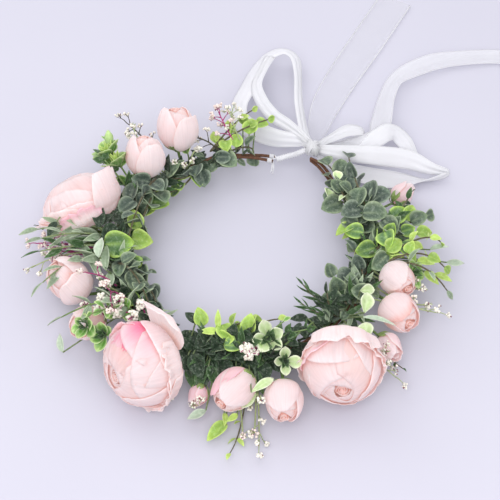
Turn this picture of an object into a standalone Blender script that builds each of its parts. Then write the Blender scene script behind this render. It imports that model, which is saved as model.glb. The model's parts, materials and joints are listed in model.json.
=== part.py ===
"""Flower crown: a twisted wire ring that carries artificial roses, rosebuds, greenery and a satin bow.

The crown lies flat with its flowers up. The origin is where the tape at the brow rests on the
forehead, +Y points from there through the head to the open back of the ring, and +Z is up.

Shapes are worked out in millimetres round the middle of the ring, on the table it lies on, with
angles in degrees from +X towards +Y. build_object() moves them to the origin and turns them into
metres.
"""

import math

import bmesh
import bpy
from mathutils import Matrix, Vector

MM = 0.001

# Ring of two twisted, paper-wrapped wires. The ends are the open back; the ring flexes at the brow.
RING_RADIUS = 88.0
RING_HEIGHT = 21.0
WIRE_RADIUS = 1.1
WIRE_GAP = 0.7
WIRE_PITCH = 60.0
WIRE_STEP = 7.5
WIRE_SPREAD = WIRE_RADIUS + WIRE_GAP / 2
BUNDLE_RADIUS = WIRE_SPREAD + WIRE_RADIUS
LEFT_END = 97.0
RIGHT_END = 441.0
BROW = 270.0
FLEX_AT = 266.0
END_GAP = 0.3
PRONG_SPREAD = 2.0

# Clearances between solids that touch on the real crown, and between the two halves as they flex
GAP = 0.4
TAPE_BORE = BUNDLE_RADIUS + 1.4 * GAP
TAPE_OUTSIDE = TAPE_BORE + 1.4
LEAF_MARGIN = 1.1
FLEX_SWEEP = 0.045

# Bow of satin ribbon at the open back
KNOT = Vector((13.0, 104.0, 26.0))
KNOT_RADIUS = 6.0
RIBBON_WIDTH = 24.0
RIBBON_THICKNESS = 0.7
PINCHED_WIDTH = 4.0
CORD_RADIUS = 1.6

COLOURS = {
    "wire": (0.27, 0.13, 0.06, 1),
    "tape": (0.12, 0.17, 0.08, 1),
    "petal": (0.94, 0.72, 0.70, 1),
    "inner_petal": (0.93, 0.62, 0.56, 1),
    "calyx": (0.32, 0.42, 0.14, 1),
    "eucalyptus": (0.28, 0.38, 0.24, 1),
    "bright_leaf": (0.45, 0.62, 0.13, 1),
    "boxwood": (0.40, 0.52, 0.25, 1),
    "willow": (0.42, 0.50, 0.36, 1),
    "blossom": (0.90, 0.82, 0.72, 1),
    "satin": (0.93, 0.93, 0.94, 1),
}
ROUGHNESS = {"satin": 0.35, "wire": 0.8, "tape": 0.85}

# A leaf's outline from its stalk to its tip: share of its length, of its half width, half thickness
ROUND_LEAF = ((0.20, 0.45, 0.45), (0.60, 1.0, 0.45), (1.0, 0.35, 0.35))
POINTED_LEAF = ((0.25, 0.75, 0.45), (0.60, 1.0, 0.45), (1.0, 0.12, 0.3))
BLOSSOM = ((0.55, 0.25, 0.45), (0.68, 1.0, 1.5), (1.0, 0.7, 1.1))

heads = []
taken = []


# ---------------------------------------------------------------- directions and curves


def heading(azimuth, lift=0.0):
    """The unit vector with this azimuth, lifted this far above the horizontal."""
    a, e = math.radians(azimuth), math.radians(lift)
    return Vector((math.cos(a) * math.cos(e), math.sin(a) * math.cos(e), math.sin(e)))


def polar(angle, radius=RING_RADIUS, height=RING_HEIGHT):
    """A point from its angle round the crown, its distance from the middle and its height."""
    return heading(angle) * radius + Vector((0, 0, height))


HINGE = polar(FLEX_AT)
ORIGIN = polar(BROW, RING_RADIUS - TAPE_OUTSIDE)


def frame_along(axis):
    """Two unit vectors square to axis and to each other; the second one points as far up as it can."""
    axis = axis.normalized()
    up = Vector((0, 0, 1)) if abs(axis.z) < 0.95 else Vector((0, 1, 0))
    side = up.cross(axis).normalized()
    return side, axis.cross(side)


def bezier(points, t):
    """The point at t on the Bezier curve with these control points."""
    while len(points) > 1:
        points = [a.lerp(b, t) for a, b in zip(points, points[1:])]
    return points[0]


def tangent(points, t):
    return (bezier(points, t + 0.02) - bezier(points, t - 0.02)).normalized()


def through(points, per_span):
    """A smooth path through the given points."""
    points = [points[0] * 2 - points[1]] + points + [points[-1] * 2 - points[-2]]
    path = []
    for a, b, c, d in zip(points, points[1:], points[2:], points[3:]):
        for i in range(per_span):
            t = i / per_span
            bend = (2 * a - 5 * b + 4 * c - d) * t * t + (3 * b - a - 3 * c + d) * t ** 3
            path.append(0.5 * (2 * b + (c - a) * t + bend))
    path.append(points[-2])
    return path


def smooth(t):
    t = max(0.0, min(1.0, t))
    return t * t * (3 - 2 * t)


# ---------------------------------------------------------------- from rings of points to objects


def material(slot):
    made = bpy.data.materials.get(slot)
    if made is None:
        made = bpy.data.materials.new(slot)
        made.use_nodes = True
        shader = made.node_tree.nodes["Principled BSDF"]
        shader.inputs["Base Color"].default_value = COLOURS[slot]
        shader.inputs["Roughness"].default_value = ROUGHNESS.get(slot, 0.6)
        shader.inputs["Metallic"].default_value = 0.0
    return made


def build_object(name, bm, slot, body, origin):
    """Makes a mesh that is in crown millimetres into an object in metres, with this origin."""
    bmesh.ops.recalc_face_normals(bm, faces=bm.faces)
    bmesh.ops.transform(bm, matrix=Matrix.Scale(MM, 4) @ Matrix.Translation(-origin), verts=bm.verts)
    mesh = bpy.data.meshes.new(name)
    bm.to_mesh(mesh)
    bm.free()
    mesh.shade_smooth()
    mesh.set_sharp_from_angle(angle=math.radians(40))
    mesh.materials.append(material(slot))
    obj = bpy.data.objects.new(name, mesh)
    bpy.context.scene.collection.objects.link(obj)
    obj.parent = body
    obj.location = (origin - ORIGIN) * MM - body.location
    return obj


def make_body(name, pivot):
    """The empty that carries a moving body, on its joint's axis."""
    empty = bpy.data.objects.new(name, None)
    empty.location = (pivot - ORIGIN) * MM
    bpy.context.scene.collection.objects.link(empty)
    return empty


def skin(rings, closed=False):
    """A closed mesh over rings of equally many points, capped at both ends or joined end to end."""
    bm = bmesh.new()
    made = [[bm.verts.new(p) for p in ring] for ring in rings]
    pairs = list(zip(made, made[1:] + made[:1]))
    for low, high in pairs if closed else pairs[:-1]:
        count = len(low)
        for i in range(count):
            j = (i + 1) % count
            bm.faces.new((low[i], low[j], high[j], high[i]))
    if not closed:
        bm.faces.new(made[0][::-1])
        bm.faces.new(made[-1])
    return bm


def circle(centre, side, up, radius, count, turn=0.0):
    points = []
    for i in range(count):
        a = 2 * math.pi * i / count + turn
        points.append(centre + side * math.cos(a) * radius + up * math.sin(a) * radius)
    return points


# ---------------------------------------------------------------- wire ring and tape


def ring_centre(angle):
    """The middle of the wire bundle; its right end bends outwards to the knot."""
    bend = 1 - smooth((RIGHT_END - angle) / 22.0)
    return polar(angle, RING_RADIUS + 8.0 * bend, RING_HEIGHT + 3.0 * bend)


def wire_point(angle, phase):
    """A point on one strand of the twisted pair. The strands part into two prongs at the left end."""
    from_end = math.radians(angle - LEFT_END) * RING_RADIUS
    twist = 2 * math.pi * math.radians(angle) * RING_RADIUS / WIRE_PITCH
    end_twist = 2 * math.pi * math.radians(LEFT_END + 18.0) * RING_RADIUS / WIRE_PITCH
    turn = phase + (twist if from_end > 27.6 else end_twist)
    spread = WIRE_SPREAD + PRONG_SPREAD * (1 - smooth(from_end / 22.0))
    out = heading(angle) * math.cos(turn) + Vector((0, 0, 1)) * math.sin(turn)
    return ring_centre(angle) + out * spread


def make_wire(name, start, end, phase, body):
    count = round(math.radians(end - start) * RING_RADIUS / WIRE_STEP)
    nudge = 0.2
    rings = []
    for i in range(count + 1):
        angle = start + (end - start) * i / count
        ahead = wire_point(angle + nudge, phase) - wire_point(angle - nudge, phase)
        side, up = frame_along(ahead)
        rings.append(circle(wire_point(angle, phase), side, up, WIRE_RADIUS, 6))
    build_object(name, skin(rings), "wire", body, ring_centre((start + end) / 2))


def make_wrap(name, angle, half_length, body):
    """A sleeve of floral tape round the wires: eight flats outside, and one of them faces the head."""
    flats = 8
    out = heading(angle)
    rings = []
    for end, apothem in ((-1, TAPE_BORE), (-1, TAPE_OUTSIDE), (1, TAPE_OUTSIDE), (1, TAPE_BORE)):
        middle = polar(angle) + heading(angle + 90) * half_length * end
        radius = apothem / math.cos(math.pi / flats)
        rings.append(circle(middle, out, Vector((0, 0, 1)), radius, flats, math.pi / flats))
    build_object(name, skin(rings, closed=True), "tape", body, polar(angle))
    keep_clear = 8.0
    heads.append((polar(angle), TAPE_OUTSIDE + 1.0, body))
    heads.append((polar(angle, RING_RADIUS - TAPE_OUTSIDE - keep_clear), keep_clear, body))


# ---------------------------------------------------------------- flower heads


def lathe_rings(centre, axis, profile, count, lobes=0):
    """Rings round axis. A profile step is radius, height, ripple of the radius, wave of the height."""
    side, up = frame_along(axis)
    rings = []
    for radius, height, ripple, wave in profile:
        ring = []
        for i in range(count):
            a = 2 * math.pi * i / count
            swing = math.cos(lobes * a) if lobes else 0.0
            spoke = side * math.cos(a) + up * math.sin(a)
            ring.append(centre + spoke * radius * (1 + ripple * swing) + axis * (height + wave * swing))
        rings.append(ring)
    return rings


def stem_foot(base):
    """Where a flower's stem starts: beside the wire bundle, on the flower's side."""
    angle = math.degrees(math.atan2(base.y, base.x))
    middle = polar(angle)
    away = (base - middle).normalized()
    return middle + away * (BUNDLE_RADIUS + 3.0 + GAP)


def stem_rings(base, axis, radius, count, body):
    """Rings that lead a flower's stem from the wire bundle to the bottom of the flower."""
    foot = stem_foot(base)
    curve = [foot, base - axis * (base - foot).length * 0.5, base]
    side = frame_along(axis)[0]
    steps = 4
    rings = []
    for i in range(steps):
        centre, ahead = bezier(curve, i / steps), tangent(curve, i / steps)
        level = (side - ahead * side.dot(ahead)).normalized()
        rings.append(circle(centre, level, ahead.cross(level), radius, count))
        heads.append((centre, radius + 0.5, body))
    return rings


def make_calyx(name, base, axis, radius, depth, body):
    """The green cup under a flower, with its five sepals and its wire stem, moulded as one piece."""
    cup = [
        (1.3, -0.3 * depth, 0, 0),
        (0.62 * radius, -0.1 * depth, 0.1, 0),
        (radius, 0.55 * depth, 0.12, 0.35 * depth),
        (radius - 0.9, 0.58 * depth, 0.12, 0.35 * depth),
        (0.55 * radius, 0.08 * depth, 0.1, 0),
        (0.2 * radius, 0.02 * depth, 0, 0),
    ]
    count = 10
    rings = stem_rings(base - axis * depth * 0.45, axis, 1.0, count, body)
    rings += lathe_rings(base, axis, cup, count, lobes=5)
    build_object(name, skin(rings), "calyx", body, base)
    heads.append((base + axis * 0.3 * depth, radius * 1.1, body))


def make_rose(prefix, angle, radius, height, azimuth, lift, size, body):
    """A full rose: spread outer petals, the packed inner petals, and the calyx with its stem."""
    centre = polar(angle, radius, height)
    axis = heading(azimuth, lift)
    half = size / 2
    deep = 0.74 * size
    base = centre - axis * deep * 0.42
    outer = [
        (0.12 * half, 0.0, 0, 0),
        (0.55 * half, 0.06 * deep, 0.02, 0),
        (0.92 * half, 0.30 * deep, 0.03, 0),
        (1.00 * half, 0.58 * deep, 0.04, 1.0),
        (0.96 * half, 0.80 * deep, 0.05, 2.0),
        (0.91 * half, 0.80 * deep, 0.05, 2.0),
        (0.92 * half, 0.58 * deep, 0.04, 1.0),
        (0.83 * half, 0.33 * deep, 0.03, 0),
        (0.46 * half, 0.12 * deep, 0.02, 0),
        (0.10 * half, 0.07 * deep, 0, 0),
    ]
    inner = [
        (0.14 * half, 0.10 * deep, 0, 0),
        (0.42 * half, 0.16 * deep, 0.02, 0),
        (0.72 * half, 0.38 * deep, 0.03, 0),
        (0.78 * half, 0.62 * deep, 0.04, 0),
        (0.64 * half, 0.86 * deep, 0.06, 1.0),
        (0.36 * half, 0.97 * deep, 0.08, 1.0),
        (0.15 * half, 0.86 * deep, 0, 0),
    ]
    petals = skin(lathe_rings(base, axis, outer, 14, lobes=7))
    build_object(prefix + "_outer_petals", petals, "petal", body, centre)
    core = skin(lathe_rings(base, axis, inner, 12, lobes=3))
    build_object(prefix + "_inner_petals", core, "inner_petal", body, centre)
    heads.append((base + axis * deep * 0.50, half * 1.04, body))
    make_calyx(prefix + "_calyx", base - axis * 2.6, axis, 0.30 * half, 3.4, body)


def egg_profile(half, deep):
    return [
        (0.16 * half, 0.0, 0, 0),
        (0.62 * half, 0.09 * deep, 0, 0),
        (0.98 * half, 0.36 * deep, 0.02, 0),
        (0.92 * half, 0.66 * deep, 0.04, 0),
        (0.62 * half, 0.90 * deep, 0.07, 1.0),
        (0.36 * half, 1.00 * deep, 0.08, 1.0),
        (0.12 * half, 0.86 * deep, 0, 0),
    ]


def make_bud(prefix, angle, radius, height, azimuth, lift, size, body):
    """A half-open rosebud: its wrapped petals, and the calyx with its stem."""
    centre = polar(angle, radius, height)
    axis = heading(azimuth, lift)
    half = size / 2
    deep = 1.15 * size
    base = centre - axis * deep * 0.46
    petals = skin(lathe_rings(base, axis, egg_profile(half, deep), 12, lobes=3))
    build_object(prefix + "_petals", petals, "petal", body, centre)
    heads.append((base + axis * deep * 0.46, 0.53 * deep, body))
    make_calyx(prefix + "_calyx", base - axis * 2.2, axis, 0.42 * half, 3.2, body)


def make_small_bud(name, angle, radius, height, azimuth, lift, size, body):
    """A closed bud, moulded in one piece with its stem."""
    centre = polar(angle, radius, height)
    axis = heading(azimuth, lift)
    deep = 1.25 * size
    base = centre - axis * deep * 0.5
    rings = stem_rings(base - axis * 1.5, axis, 0.9, 8, body)
    rings += lathe_rings(base, axis, egg_profile(size / 2, deep)[:-1], 8)
    build_object(name, skin(rings), "petal", body, centre)
    heads.append((centre, 0.56 * deep, body))


# ---------------------------------------------------------------- greenery


def is_free(points, own, body, table=1.2):
    """True where these points keep clear of the table, the wires, the flowers and other sprigs."""
    for p in points:
        sweep = FLEX_SWEEP * (p - HINGE).length + 0.5
        if p.z < table:
            return False
        for centre, reach, other in heads:
            margin = LEAF_MARGIN if other == body else LEAF_MARGIN + sweep
            if (p - centre).length < reach + margin:
                return False
        for centre, reach, other, name in taken:
            margin = LEAF_MARGIN if other == body else LEAF_MARGIN + sweep
            if name != own and (p - centre).length < reach + margin:
                return False
        if (p - polar(math.degrees(math.atan2(p.y, p.x)))).length < BUNDLE_RADIUS + LEAF_MARGIN:
            return False
    return True


def leaf_places(start, ahead, up, length, half_width, curl, outline):
    """Points over a leaf: its middle line and both of its edges."""
    across = up.cross(ahead).normalized()
    places = []
    steps = ((0.0, 0.2, 0.4),) + outline
    for (share_a, width_a, _), (share_b, width_b, _) in zip(steps, steps[1:]):
        for t in (0.5, 1.0):
            share, width = share_a + (share_b - share_a) * t, width_a + (width_b - width_a) * t
            if share < 0.15:
                continue
            middle = start + ahead * length * share - up * curl * share * share
            reach = across * half_width * width
            places += [middle, middle + reach, middle - reach, middle + reach / 2, middle - reach / 2]
    return places


def grow_leaf(bm, face, ahead, up, length, half_width, curl, outline):
    """Extrudes a side or the end of a stem into a leaf that points ahead with its face up."""
    start = face.calc_center_median()
    across = up.cross(ahead).normalized()
    thick = ahead.cross(across)
    corners = [(1, 1), (-1, 1), (-1, -1), (1, -1)]
    offsets = [v.co - start for v in face.verts]

    def match(turn):
        placed = corners[turn:] + corners[:turn]
        return sum(o.dot(across) * a + o.dot(thick) * b for o, (a, b) in zip(offsets, placed))

    turn = max(range(4), key=match)
    signs = corners[turn:] + corners[:turn]
    for share, width, depth in outline:
        face = bmesh.ops.extrude_discrete_faces(bm, faces=[face])["faces"][0]
        middle = start + ahead * length * share - up * curl * share * share
        for vert, (a, b) in zip(face.verts, signs):
            vert.co = middle + across * a * half_width * width + thick * b * depth


def clear_curve(foot, end, arch, name, body):
    """The stem's curve, arched higher, lower or sideways until it clears what is in its way."""
    sideways = Vector((0, 0, 1)).cross(end - foot).normalized()
    for shift in (0, 5, -5, 10, -10, 15, -15):
        for extra in (0, 5, 10, -5, 15, 20, -10, 25):
            middle = (foot + end) / 2 + Vector((0, 0, arch + extra)) + sideways * shift
            curve = [foot, middle, end]
            if is_free([bezier(curve, t / 12) for t in range(1, 13)], name, body, 2.0):
                return curve
    print("no clear path for", name)
    return [foot, (foot + end) / 2 + Vector((0, 0, arch)), end]


def make_sprig(name, foot, end, arch, slot, body, length, half_width, outline, pairs,
               spread=55, first=0.25, roll=0.0, curl=1.0):
    """A stem with pairs of leaves and a leaf at its end. Leaves that would run into a neighbour are
    made smaller, or left off."""
    stem_radius = 0.85
    knuckle = 0.9
    curve = clear_curve(polar(*foot), polar(*end), arch, name, body)
    reach = (curve[2] - curve[0]).length
    stops = [0.0]
    for i in range(pairs):
        at = first + (0.96 - first) * i / max(1, pairs - 1)
        stops += [at - knuckle / reach, at + knuckle / reach]
    rings = []
    for t in stops:
        side, up = frame_along(tangent(curve, t))
        rings.append(circle(bezier(curve, t), side, up, stem_radius, 4, math.pi / 4))
    bm = skin(rings)
    bm.normal_update()
    bm.faces.ensure_lookup_table()
    jobs = [(bm.faces[len(bm.faces) - 1], tangent(curve, 1.0), pairs)]
    for i in reversed(range(pairs)):
        ahead = tangent(curve, stops[1 + 2 * i])
        side, up = frame_along(ahead)
        tilt = math.radians(roll + 62 * (i % 2))
        for way in (1, -1):
            out = (side * math.cos(tilt) + up * math.sin(tilt)) * way
            if out.z < -0.3:
                out = (out + Vector((0, 0, 0.9))).normalized()
            faces = bm.faces[(1 + 2 * i) * 4:(2 + 2 * i) * 4]
            face = max(faces, key=lambda f: f.normal.dot(out))
            open_angle = math.radians(spread)
            jobs.append((face, (ahead * math.cos(open_angle) + out * math.sin(open_angle)).normalized(), i))
    grown = []
    for face, pointing, i in jobs:
        if face in grown:
            continue
        up = Vector((0, 0, 1)) - pointing * pointing.z
        if up.length < 0.3:
            up = Vector((0, 0.5, 1)) - pointing * pointing.dot(Vector((0, 0.5, 1)))
        up.normalize()
        start = face.calc_center_median()
        for scale in (1.0, 0.8, 0.6, 0.45):
            full = scale * (1.0 - 0.3 * i / max(1, pairs))
            shape = (start, pointing, up, length * full, half_width * full, curl, outline)
            places = leaf_places(*shape)
            clear_of_own = all(
                (p - centre).length > 2.0 for p in places for centre, _, _, other in taken if other == name
            )
            if clear_of_own and is_free(places, name, body):
                grown.append(face)
                grow_leaf(bm, face, *shape[1:])
                taken.extend((p, 1.0, body, name) for p in places)
                break
    for t in range(13):
        taken.append((bezier(curve, t / 12), stem_radius + 0.3, body, name + "_stem"))
    build_object(name, bm, slot, body, curve[0])


# ---------------------------------------------------------------- the ribbon


def make_ribbon(name, places, body, width=RIBBON_WIDTH):
    """A ribbon through places, each a point and the way the ribbon faces there. It is pinched where it
    goes into the knot."""
    path = through([Vector(p) for p, _ in places], 4)
    facing = through([Vector(f) for _, f in places], 4)
    rings = []
    for i, p in enumerate(path):
        ahead = (path[min(i + 1, len(path) - 1)] - path[max(i - 1, 0)]).normalized()
        across = ahead.cross(facing[i]).normalized()
        normal = across.cross(ahead)
        opened = smooth(((p - KNOT).length - KNOT_RADIUS) / 32.0)
        half = across * (PINCHED_WIDTH + (width - PINCHED_WIDTH) * opened) / 2
        thin = normal * RIBBON_THICKNESS / 2
        rings.append([p + half + thin, p - half + thin, p - half - thin, p + half - thin])
        taken.extend((p + half * k, 1.0, body, name) for k in (-1, -0.5, 0, 0.5, 1))
    build_object(name, skin(rings), "satin", body, KNOT)


def make_knot(name, body):
    axis = heading(20)
    profile = [(2.4, -6.4), (5.0, -5.2), (KNOT_RADIUS, -2.0), (KNOT_RADIUS, 2.0), (5.0, 5.2), (2.4, 6.4)]
    rings = lathe_rings(KNOT, axis, [(r * 0.93, h * 0.93, 0.03, 0) for r, h in profile], 12, lobes=4)
    build_object(name, skin(rings), "satin", body, KNOT)
    heads.append((KNOT, KNOT_RADIUS + 0.5, body))


def make_cord(name, body):
    """The elastic cord that draws the left end of the ring to the knot."""
    start = polar(LEFT_END - 1.2, RING_RADIUS + 0.5, RING_HEIGHT)
    end = KNOT + (start - KNOT).normalized() * (KNOT_RADIUS + 1.6)
    curve = [start, (start + end) / 2 + Vector((-1.0, 1.0, -1.5)), end]
    rings = []
    for i in range(7):
        side, up = frame_along(tangent(curve, i / 6))
        rings.append(circle(bezier(curve, i / 6), side, up, CORD_RADIUS, 8))
    build_object(name, skin(rings), "satin", body, start)


def make_bow(root, left, right, tails):
    up, knot = Vector((0, 0, 1)), KNOT
    make_knot("bow_knot", root)
    make_cord("elastic_cord", root)
    make_ribbon("bow_loop_left", [
        (knot + heading(128) * 8.0 + up * 2.5, (1, 0.5, 1.2)),
        ((0, 129, 25), (1, 0.3, 0.9)),
        ((-10, 165, 18), (1, 0.2, 0.6)),
        ((-20, 195, 15), (1, 0.7, 0.6)),
        ((-37, 206, 14), (0.0, 1, 0.6)),
        ((-53, 192, 14), (-1, 0.3, 0.6)),
        ((-60, 163, 14), (-1, -0.1, 0.6)),
        ((-53, 139, 14), (-0.8, -0.8, 0.6)),
        ((-30, 128, 14), (-0.3, -1, 0.6)),
        (knot + heading(152) * 8.5 + up * -3.5, (-0.4, -1, 0.8)),
    ], left)
    make_ribbon("bow_loop_right", [
        (knot + heading(8) * 8.2 + up * 3.0, (-0.2, -0.3, 1)),
        ((42, 112, 27), (0.1, -0.3, 1)),
        ((75, 120, 20), (0.3, -0.2, 1)),
        ((101, 127, 11), (0.8, 0, 1)),
        ((108, 129, 7), (1, 0.3, 0)),
        ((101, 126, 3.5), (0.3, 0, -1)),
        ((75, 118, 4.5), (0.1, 0, -1)),
        ((42, 111, 9), (0.1, 0.1, -1)),
        (knot + heading(2) * 8.2 + up * -4.0, (0.2, 0.2, -1)),
    ], right)
    make_ribbon("ribbon_tail_left", [
        (knot + heading(92) * 8.0 + up * -5.5, (0, 0.3, 1)),
        ((17, 128, 5), (0, 0.4, 1)),
        ((18, 160, 2.2), (0, 0.1, 1)),
        ((13, 205, 1.4), (0, 0, 1)),
        ((8, 255, 1.4), (0, 0, 1)),
        ((12, 306, 1.4), (0, 0, 1)),
    ], tails)
    make_ribbon("ribbon_tail_right", [
        (knot + heading(70) * 8.0 + up * -1.5, (0, 0.3, 1)),
        ((30, 136, 12), (0, 0.4, 1)),
        ((43, 166, 5), (0, 0.2, 1)),
        ((48, 200, 6), (-0.3, 0, 1)),
        ((58, 226, 9), (-0.3, 0.4, 1)),
        ((88, 246, 5), (0, 0.3, 1)),
        ((125, 262, 3), (0, 0.1, 1)),
        ((152, 268, 3), (0, 0.1, 1)),
    ], tails)


# ---------------------------------------------------------------- the whole crown


def make_ring(root, left):
    make_wire("wire_left_a", LEFT_END, FLEX_AT - END_GAP, 0.0, left)
    make_wire("wire_left_b", LEFT_END, FLEX_AT - END_GAP, math.pi, left)
    make_wire("wire_right_a", FLEX_AT + END_GAP, RIGHT_END, 0.0, root)
    make_wire("wire_right_b", FLEX_AT + END_GAP, RIGHT_END, math.pi, root)
    make_wrap("tape_brow", BROW, 8.0, root)
    make_wrap("tape_right", 0.0, 7.0, root)
    make_wrap("tape_left", 180.0, 7.0, left)


def make_flowers(root, left):
    make_rose("rose_left", 184, 120, 32, 151, 38, 54, left)
    make_rose("rose_front_left", 260.5, 119, 32, 243, 17, 57, left)
    make_rose("rose_front_right", 324.5, 119, 32, 292, 10, 56, root)
    make_bud("bud_left_back_a", 138.8, 107, 42, 117, 57, 27, left)
    make_bud("bud_left_back_b", 157, 100, 40, 117, 55, 26, left)
    make_bud("bud_left_front_a", 216.5, 124, 29, 196, 58, 32, left)
    make_bud("bud_left_front_b", 233.7, 122, 24, 257, 26, 23, left)
    make_bud("bud_front_a", 288.6, 118, 23, 254, 2, 32, root)
    make_bud("bud_front_b", 304.0, 126.5, 22, 292, 3, 25, root)
    make_bud("bud_right_a", 6, 110, 28, 321, 14, 23, root)
    make_bud("bud_right_b", 353.6, 119, 25, 321, 14, 25, root)
    make_small_bud("bud_right_c", 342.5, 126, 19, 315, 15, 17, root)
    make_small_bud("bud_small_front", 277.6, 118, 13, 262, -5, 12, root)
    make_small_bud("bud_small_back", 48.5, 129, 14, 70, 20, 15, root)


def make_greenery(root, left):
    round_leaves = dict(outline=ROUND_LEAF, length=14.5, half_width=6.6)
    small_round = dict(outline=ROUND_LEAF, length=11.5, half_width=5.2)
    box_leaves = dict(outline=POINTED_LEAF, length=10.5, half_width=3.4)
    long_leaves = dict(outline=POINTED_LEAF, length=23.0, half_width=3.0)
    blossoms = dict(outline=BLOSSOM, length=7.0, half_width=2.2)
    make_sprig("eucalyptus_left_end", (127, 93, 24), (106, 112, 32), 4, "bright_leaf", left,
               pairs=4, spread=50, **small_round)
    make_sprig("eucalyptus_left_back", (152, 83, 24), (133, 80, 20), -2, "eucalyptus", left,
               pairs=4, **round_leaves)
    make_sprig("eucalyptus_left_mid", (160, 83, 24), (194, 75, 27), 4, "bright_leaf", left,
               pairs=5, **round_leaves)
    make_sprig("eucalyptus_left_lower", (206, 83, 24), (234, 75, 27), 2, "eucalyptus", left,
               pairs=5, **round_leaves)
    make_sprig("boxwood_left_back", (168, 93, 25), (161, 128, 36), 5, "boxwood", left,
               pairs=4, spread=60, **box_leaves)
    make_sprig("boxwood_left_front", (240, 93, 26), (238, 120, 44), 8, "boxwood", left,
               pairs=4, spread=60, **box_leaves)
    make_sprig("spray_left_back", (115, 93, 26), (120, 116, 36), 4, "blossom", left,
               pairs=5, spread=50, **blossoms)
    make_sprig("spray_left_outer", (149, 93, 26), (150, 136, 34), 8, "blossom", left,
               pairs=5, spread=50, **blossoms)
    make_sprig("spray_left_front", (224, 93, 26), (221, 108, 40), 6, "blossom", left,
               pairs=4, spread=50, **blossoms)
    make_sprig("spray_left_low", (204, 93, 23), (199, 142, 20), 4, "blossom", left,
               pairs=5, spread=50, **blossoms)
    make_sprig("willow_left", (197, 93, 26), (203, 124, 40), 8, "willow", left,
               pairs=4, spread=35, **long_leaves)
    make_sprig("eucalyptus_front", (279, 83, 25), (290, 74, 36), 5, "bright_leaf", root,
               pairs=3, spread=50, **small_round)
    make_sprig("boxwood_front", (298, 91, 27), (306, 84, 42), 6, "boxwood", root,
               pairs=4, spread=60, **box_leaves)
    make_sprig("spray_front", (297.5, 93, 20), (296, 146, 7), -4, "blossom", root,
               pairs=5, spread=50, **blossoms)
    make_sprig("eucalyptus_right_back", (34, 90, 27), (66, 92, 31), 6, "eucalyptus", root,
               pairs=6, **round_leaves)
    make_sprig("eucalyptus_right_outer", (18, 93, 25), (32, 124, 27), 5, "eucalyptus", root,
               pairs=5, **round_leaves)
    make_sprig("eucalyptus_right_inner", (343, 83, 24), (349, 78, 25), 3, "eucalyptus", root,
               pairs=2, first=0.5, **round_leaves)
    make_sprig("eucalyptus_right_tip", (10, 94, 25), (13, 132, 27), 8, "bright_leaf", root,
               pairs=4, spread=50, **small_round)
    make_sprig("spray_right", (338, 93, 23), (337, 138, 14), 4, "blossom", root,
               pairs=5, spread=50, **blossoms)


def main():
    for obj in list(bpy.data.objects):
        bpy.data.objects.remove(obj)
    root = make_body("right_half", ORIGIN)
    left = make_body("left_half", HINGE)
    bow_left = make_body("bow_left", KNOT)
    bow_right = make_body("bow_right", KNOT)
    tails = make_body("tails", KNOT)
    make_ring(root, left)
    make_flowers(root, left)
    make_bow(root, bow_left, bow_right, tails)
    make_greenery(root, left)


main()
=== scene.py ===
import json
import math
import zlib

import bmesh
import bpy
import numpy as np
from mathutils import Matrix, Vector


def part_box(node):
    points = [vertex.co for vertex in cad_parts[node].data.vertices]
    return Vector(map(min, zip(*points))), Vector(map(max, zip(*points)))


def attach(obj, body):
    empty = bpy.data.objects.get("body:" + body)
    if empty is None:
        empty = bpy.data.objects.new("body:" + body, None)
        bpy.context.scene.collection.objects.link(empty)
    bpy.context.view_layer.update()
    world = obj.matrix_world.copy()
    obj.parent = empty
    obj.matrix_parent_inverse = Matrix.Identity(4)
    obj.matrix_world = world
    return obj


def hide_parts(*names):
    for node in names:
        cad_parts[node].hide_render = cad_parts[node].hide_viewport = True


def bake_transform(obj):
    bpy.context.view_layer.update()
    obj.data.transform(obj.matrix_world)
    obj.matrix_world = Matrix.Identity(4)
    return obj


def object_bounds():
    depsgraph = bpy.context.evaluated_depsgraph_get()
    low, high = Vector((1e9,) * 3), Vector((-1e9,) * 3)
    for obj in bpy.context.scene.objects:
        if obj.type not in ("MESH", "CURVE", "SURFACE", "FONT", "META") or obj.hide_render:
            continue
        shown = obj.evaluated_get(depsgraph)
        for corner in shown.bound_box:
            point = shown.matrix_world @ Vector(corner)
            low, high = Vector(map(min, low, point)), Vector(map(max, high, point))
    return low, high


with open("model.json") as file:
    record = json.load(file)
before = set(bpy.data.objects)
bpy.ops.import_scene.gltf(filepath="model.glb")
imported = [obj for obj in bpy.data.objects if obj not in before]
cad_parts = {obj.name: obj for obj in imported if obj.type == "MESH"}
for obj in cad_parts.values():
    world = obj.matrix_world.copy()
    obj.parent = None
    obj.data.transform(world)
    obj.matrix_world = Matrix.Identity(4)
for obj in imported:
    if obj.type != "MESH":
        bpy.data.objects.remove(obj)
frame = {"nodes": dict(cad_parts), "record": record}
CAD_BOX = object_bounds()
MM = 0.001

# Crown millimetres: the middle of the ring, on the table. The frame's mounts and box say where that is.
rests = {m["name"]: Vector(m["pos_m"]) for m in frame["record"]["mounts"]}
middle = (rests["head_rest_left"] + rests["head_rest_right"]) / 2
TABLE = CAD_BOX[0].z - 0.001
CROWN = np.array([middle.x, middle.y, TABLE]) / MM
RING_HEIGHT = middle.z / MM - CROWN[2]
UP = np.array([0.0, 0.0, 1.0])
REST_HEIGHT = 0.35  # nothing reaches below this, so that the crown lies on the table


# ------------------------------------------------------------------ small maths


def unit(v):
    return v / max(1e-9, np.linalg.norm(v))


def smooth(t):
    t = np.clip(t, 0, 1)
    return t * t * (3 - 2 * t)


def mix(a, b, t):
    t = np.asarray(t)[..., None]
    return np.asarray(a) * (1 - t) + np.asarray(b) * t


def heading(azimuth, lift=0.0):
    a, e = math.radians(azimuth), math.radians(lift)
    return np.array([math.cos(a) * math.cos(e), math.sin(a) * math.cos(e), math.sin(e)])


def polar(angle, radius, height):
    return heading(angle) * radius + UP * height


def rng_for(name):
    return np.random.default_rng(zlib.crc32(name.encode()))


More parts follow.
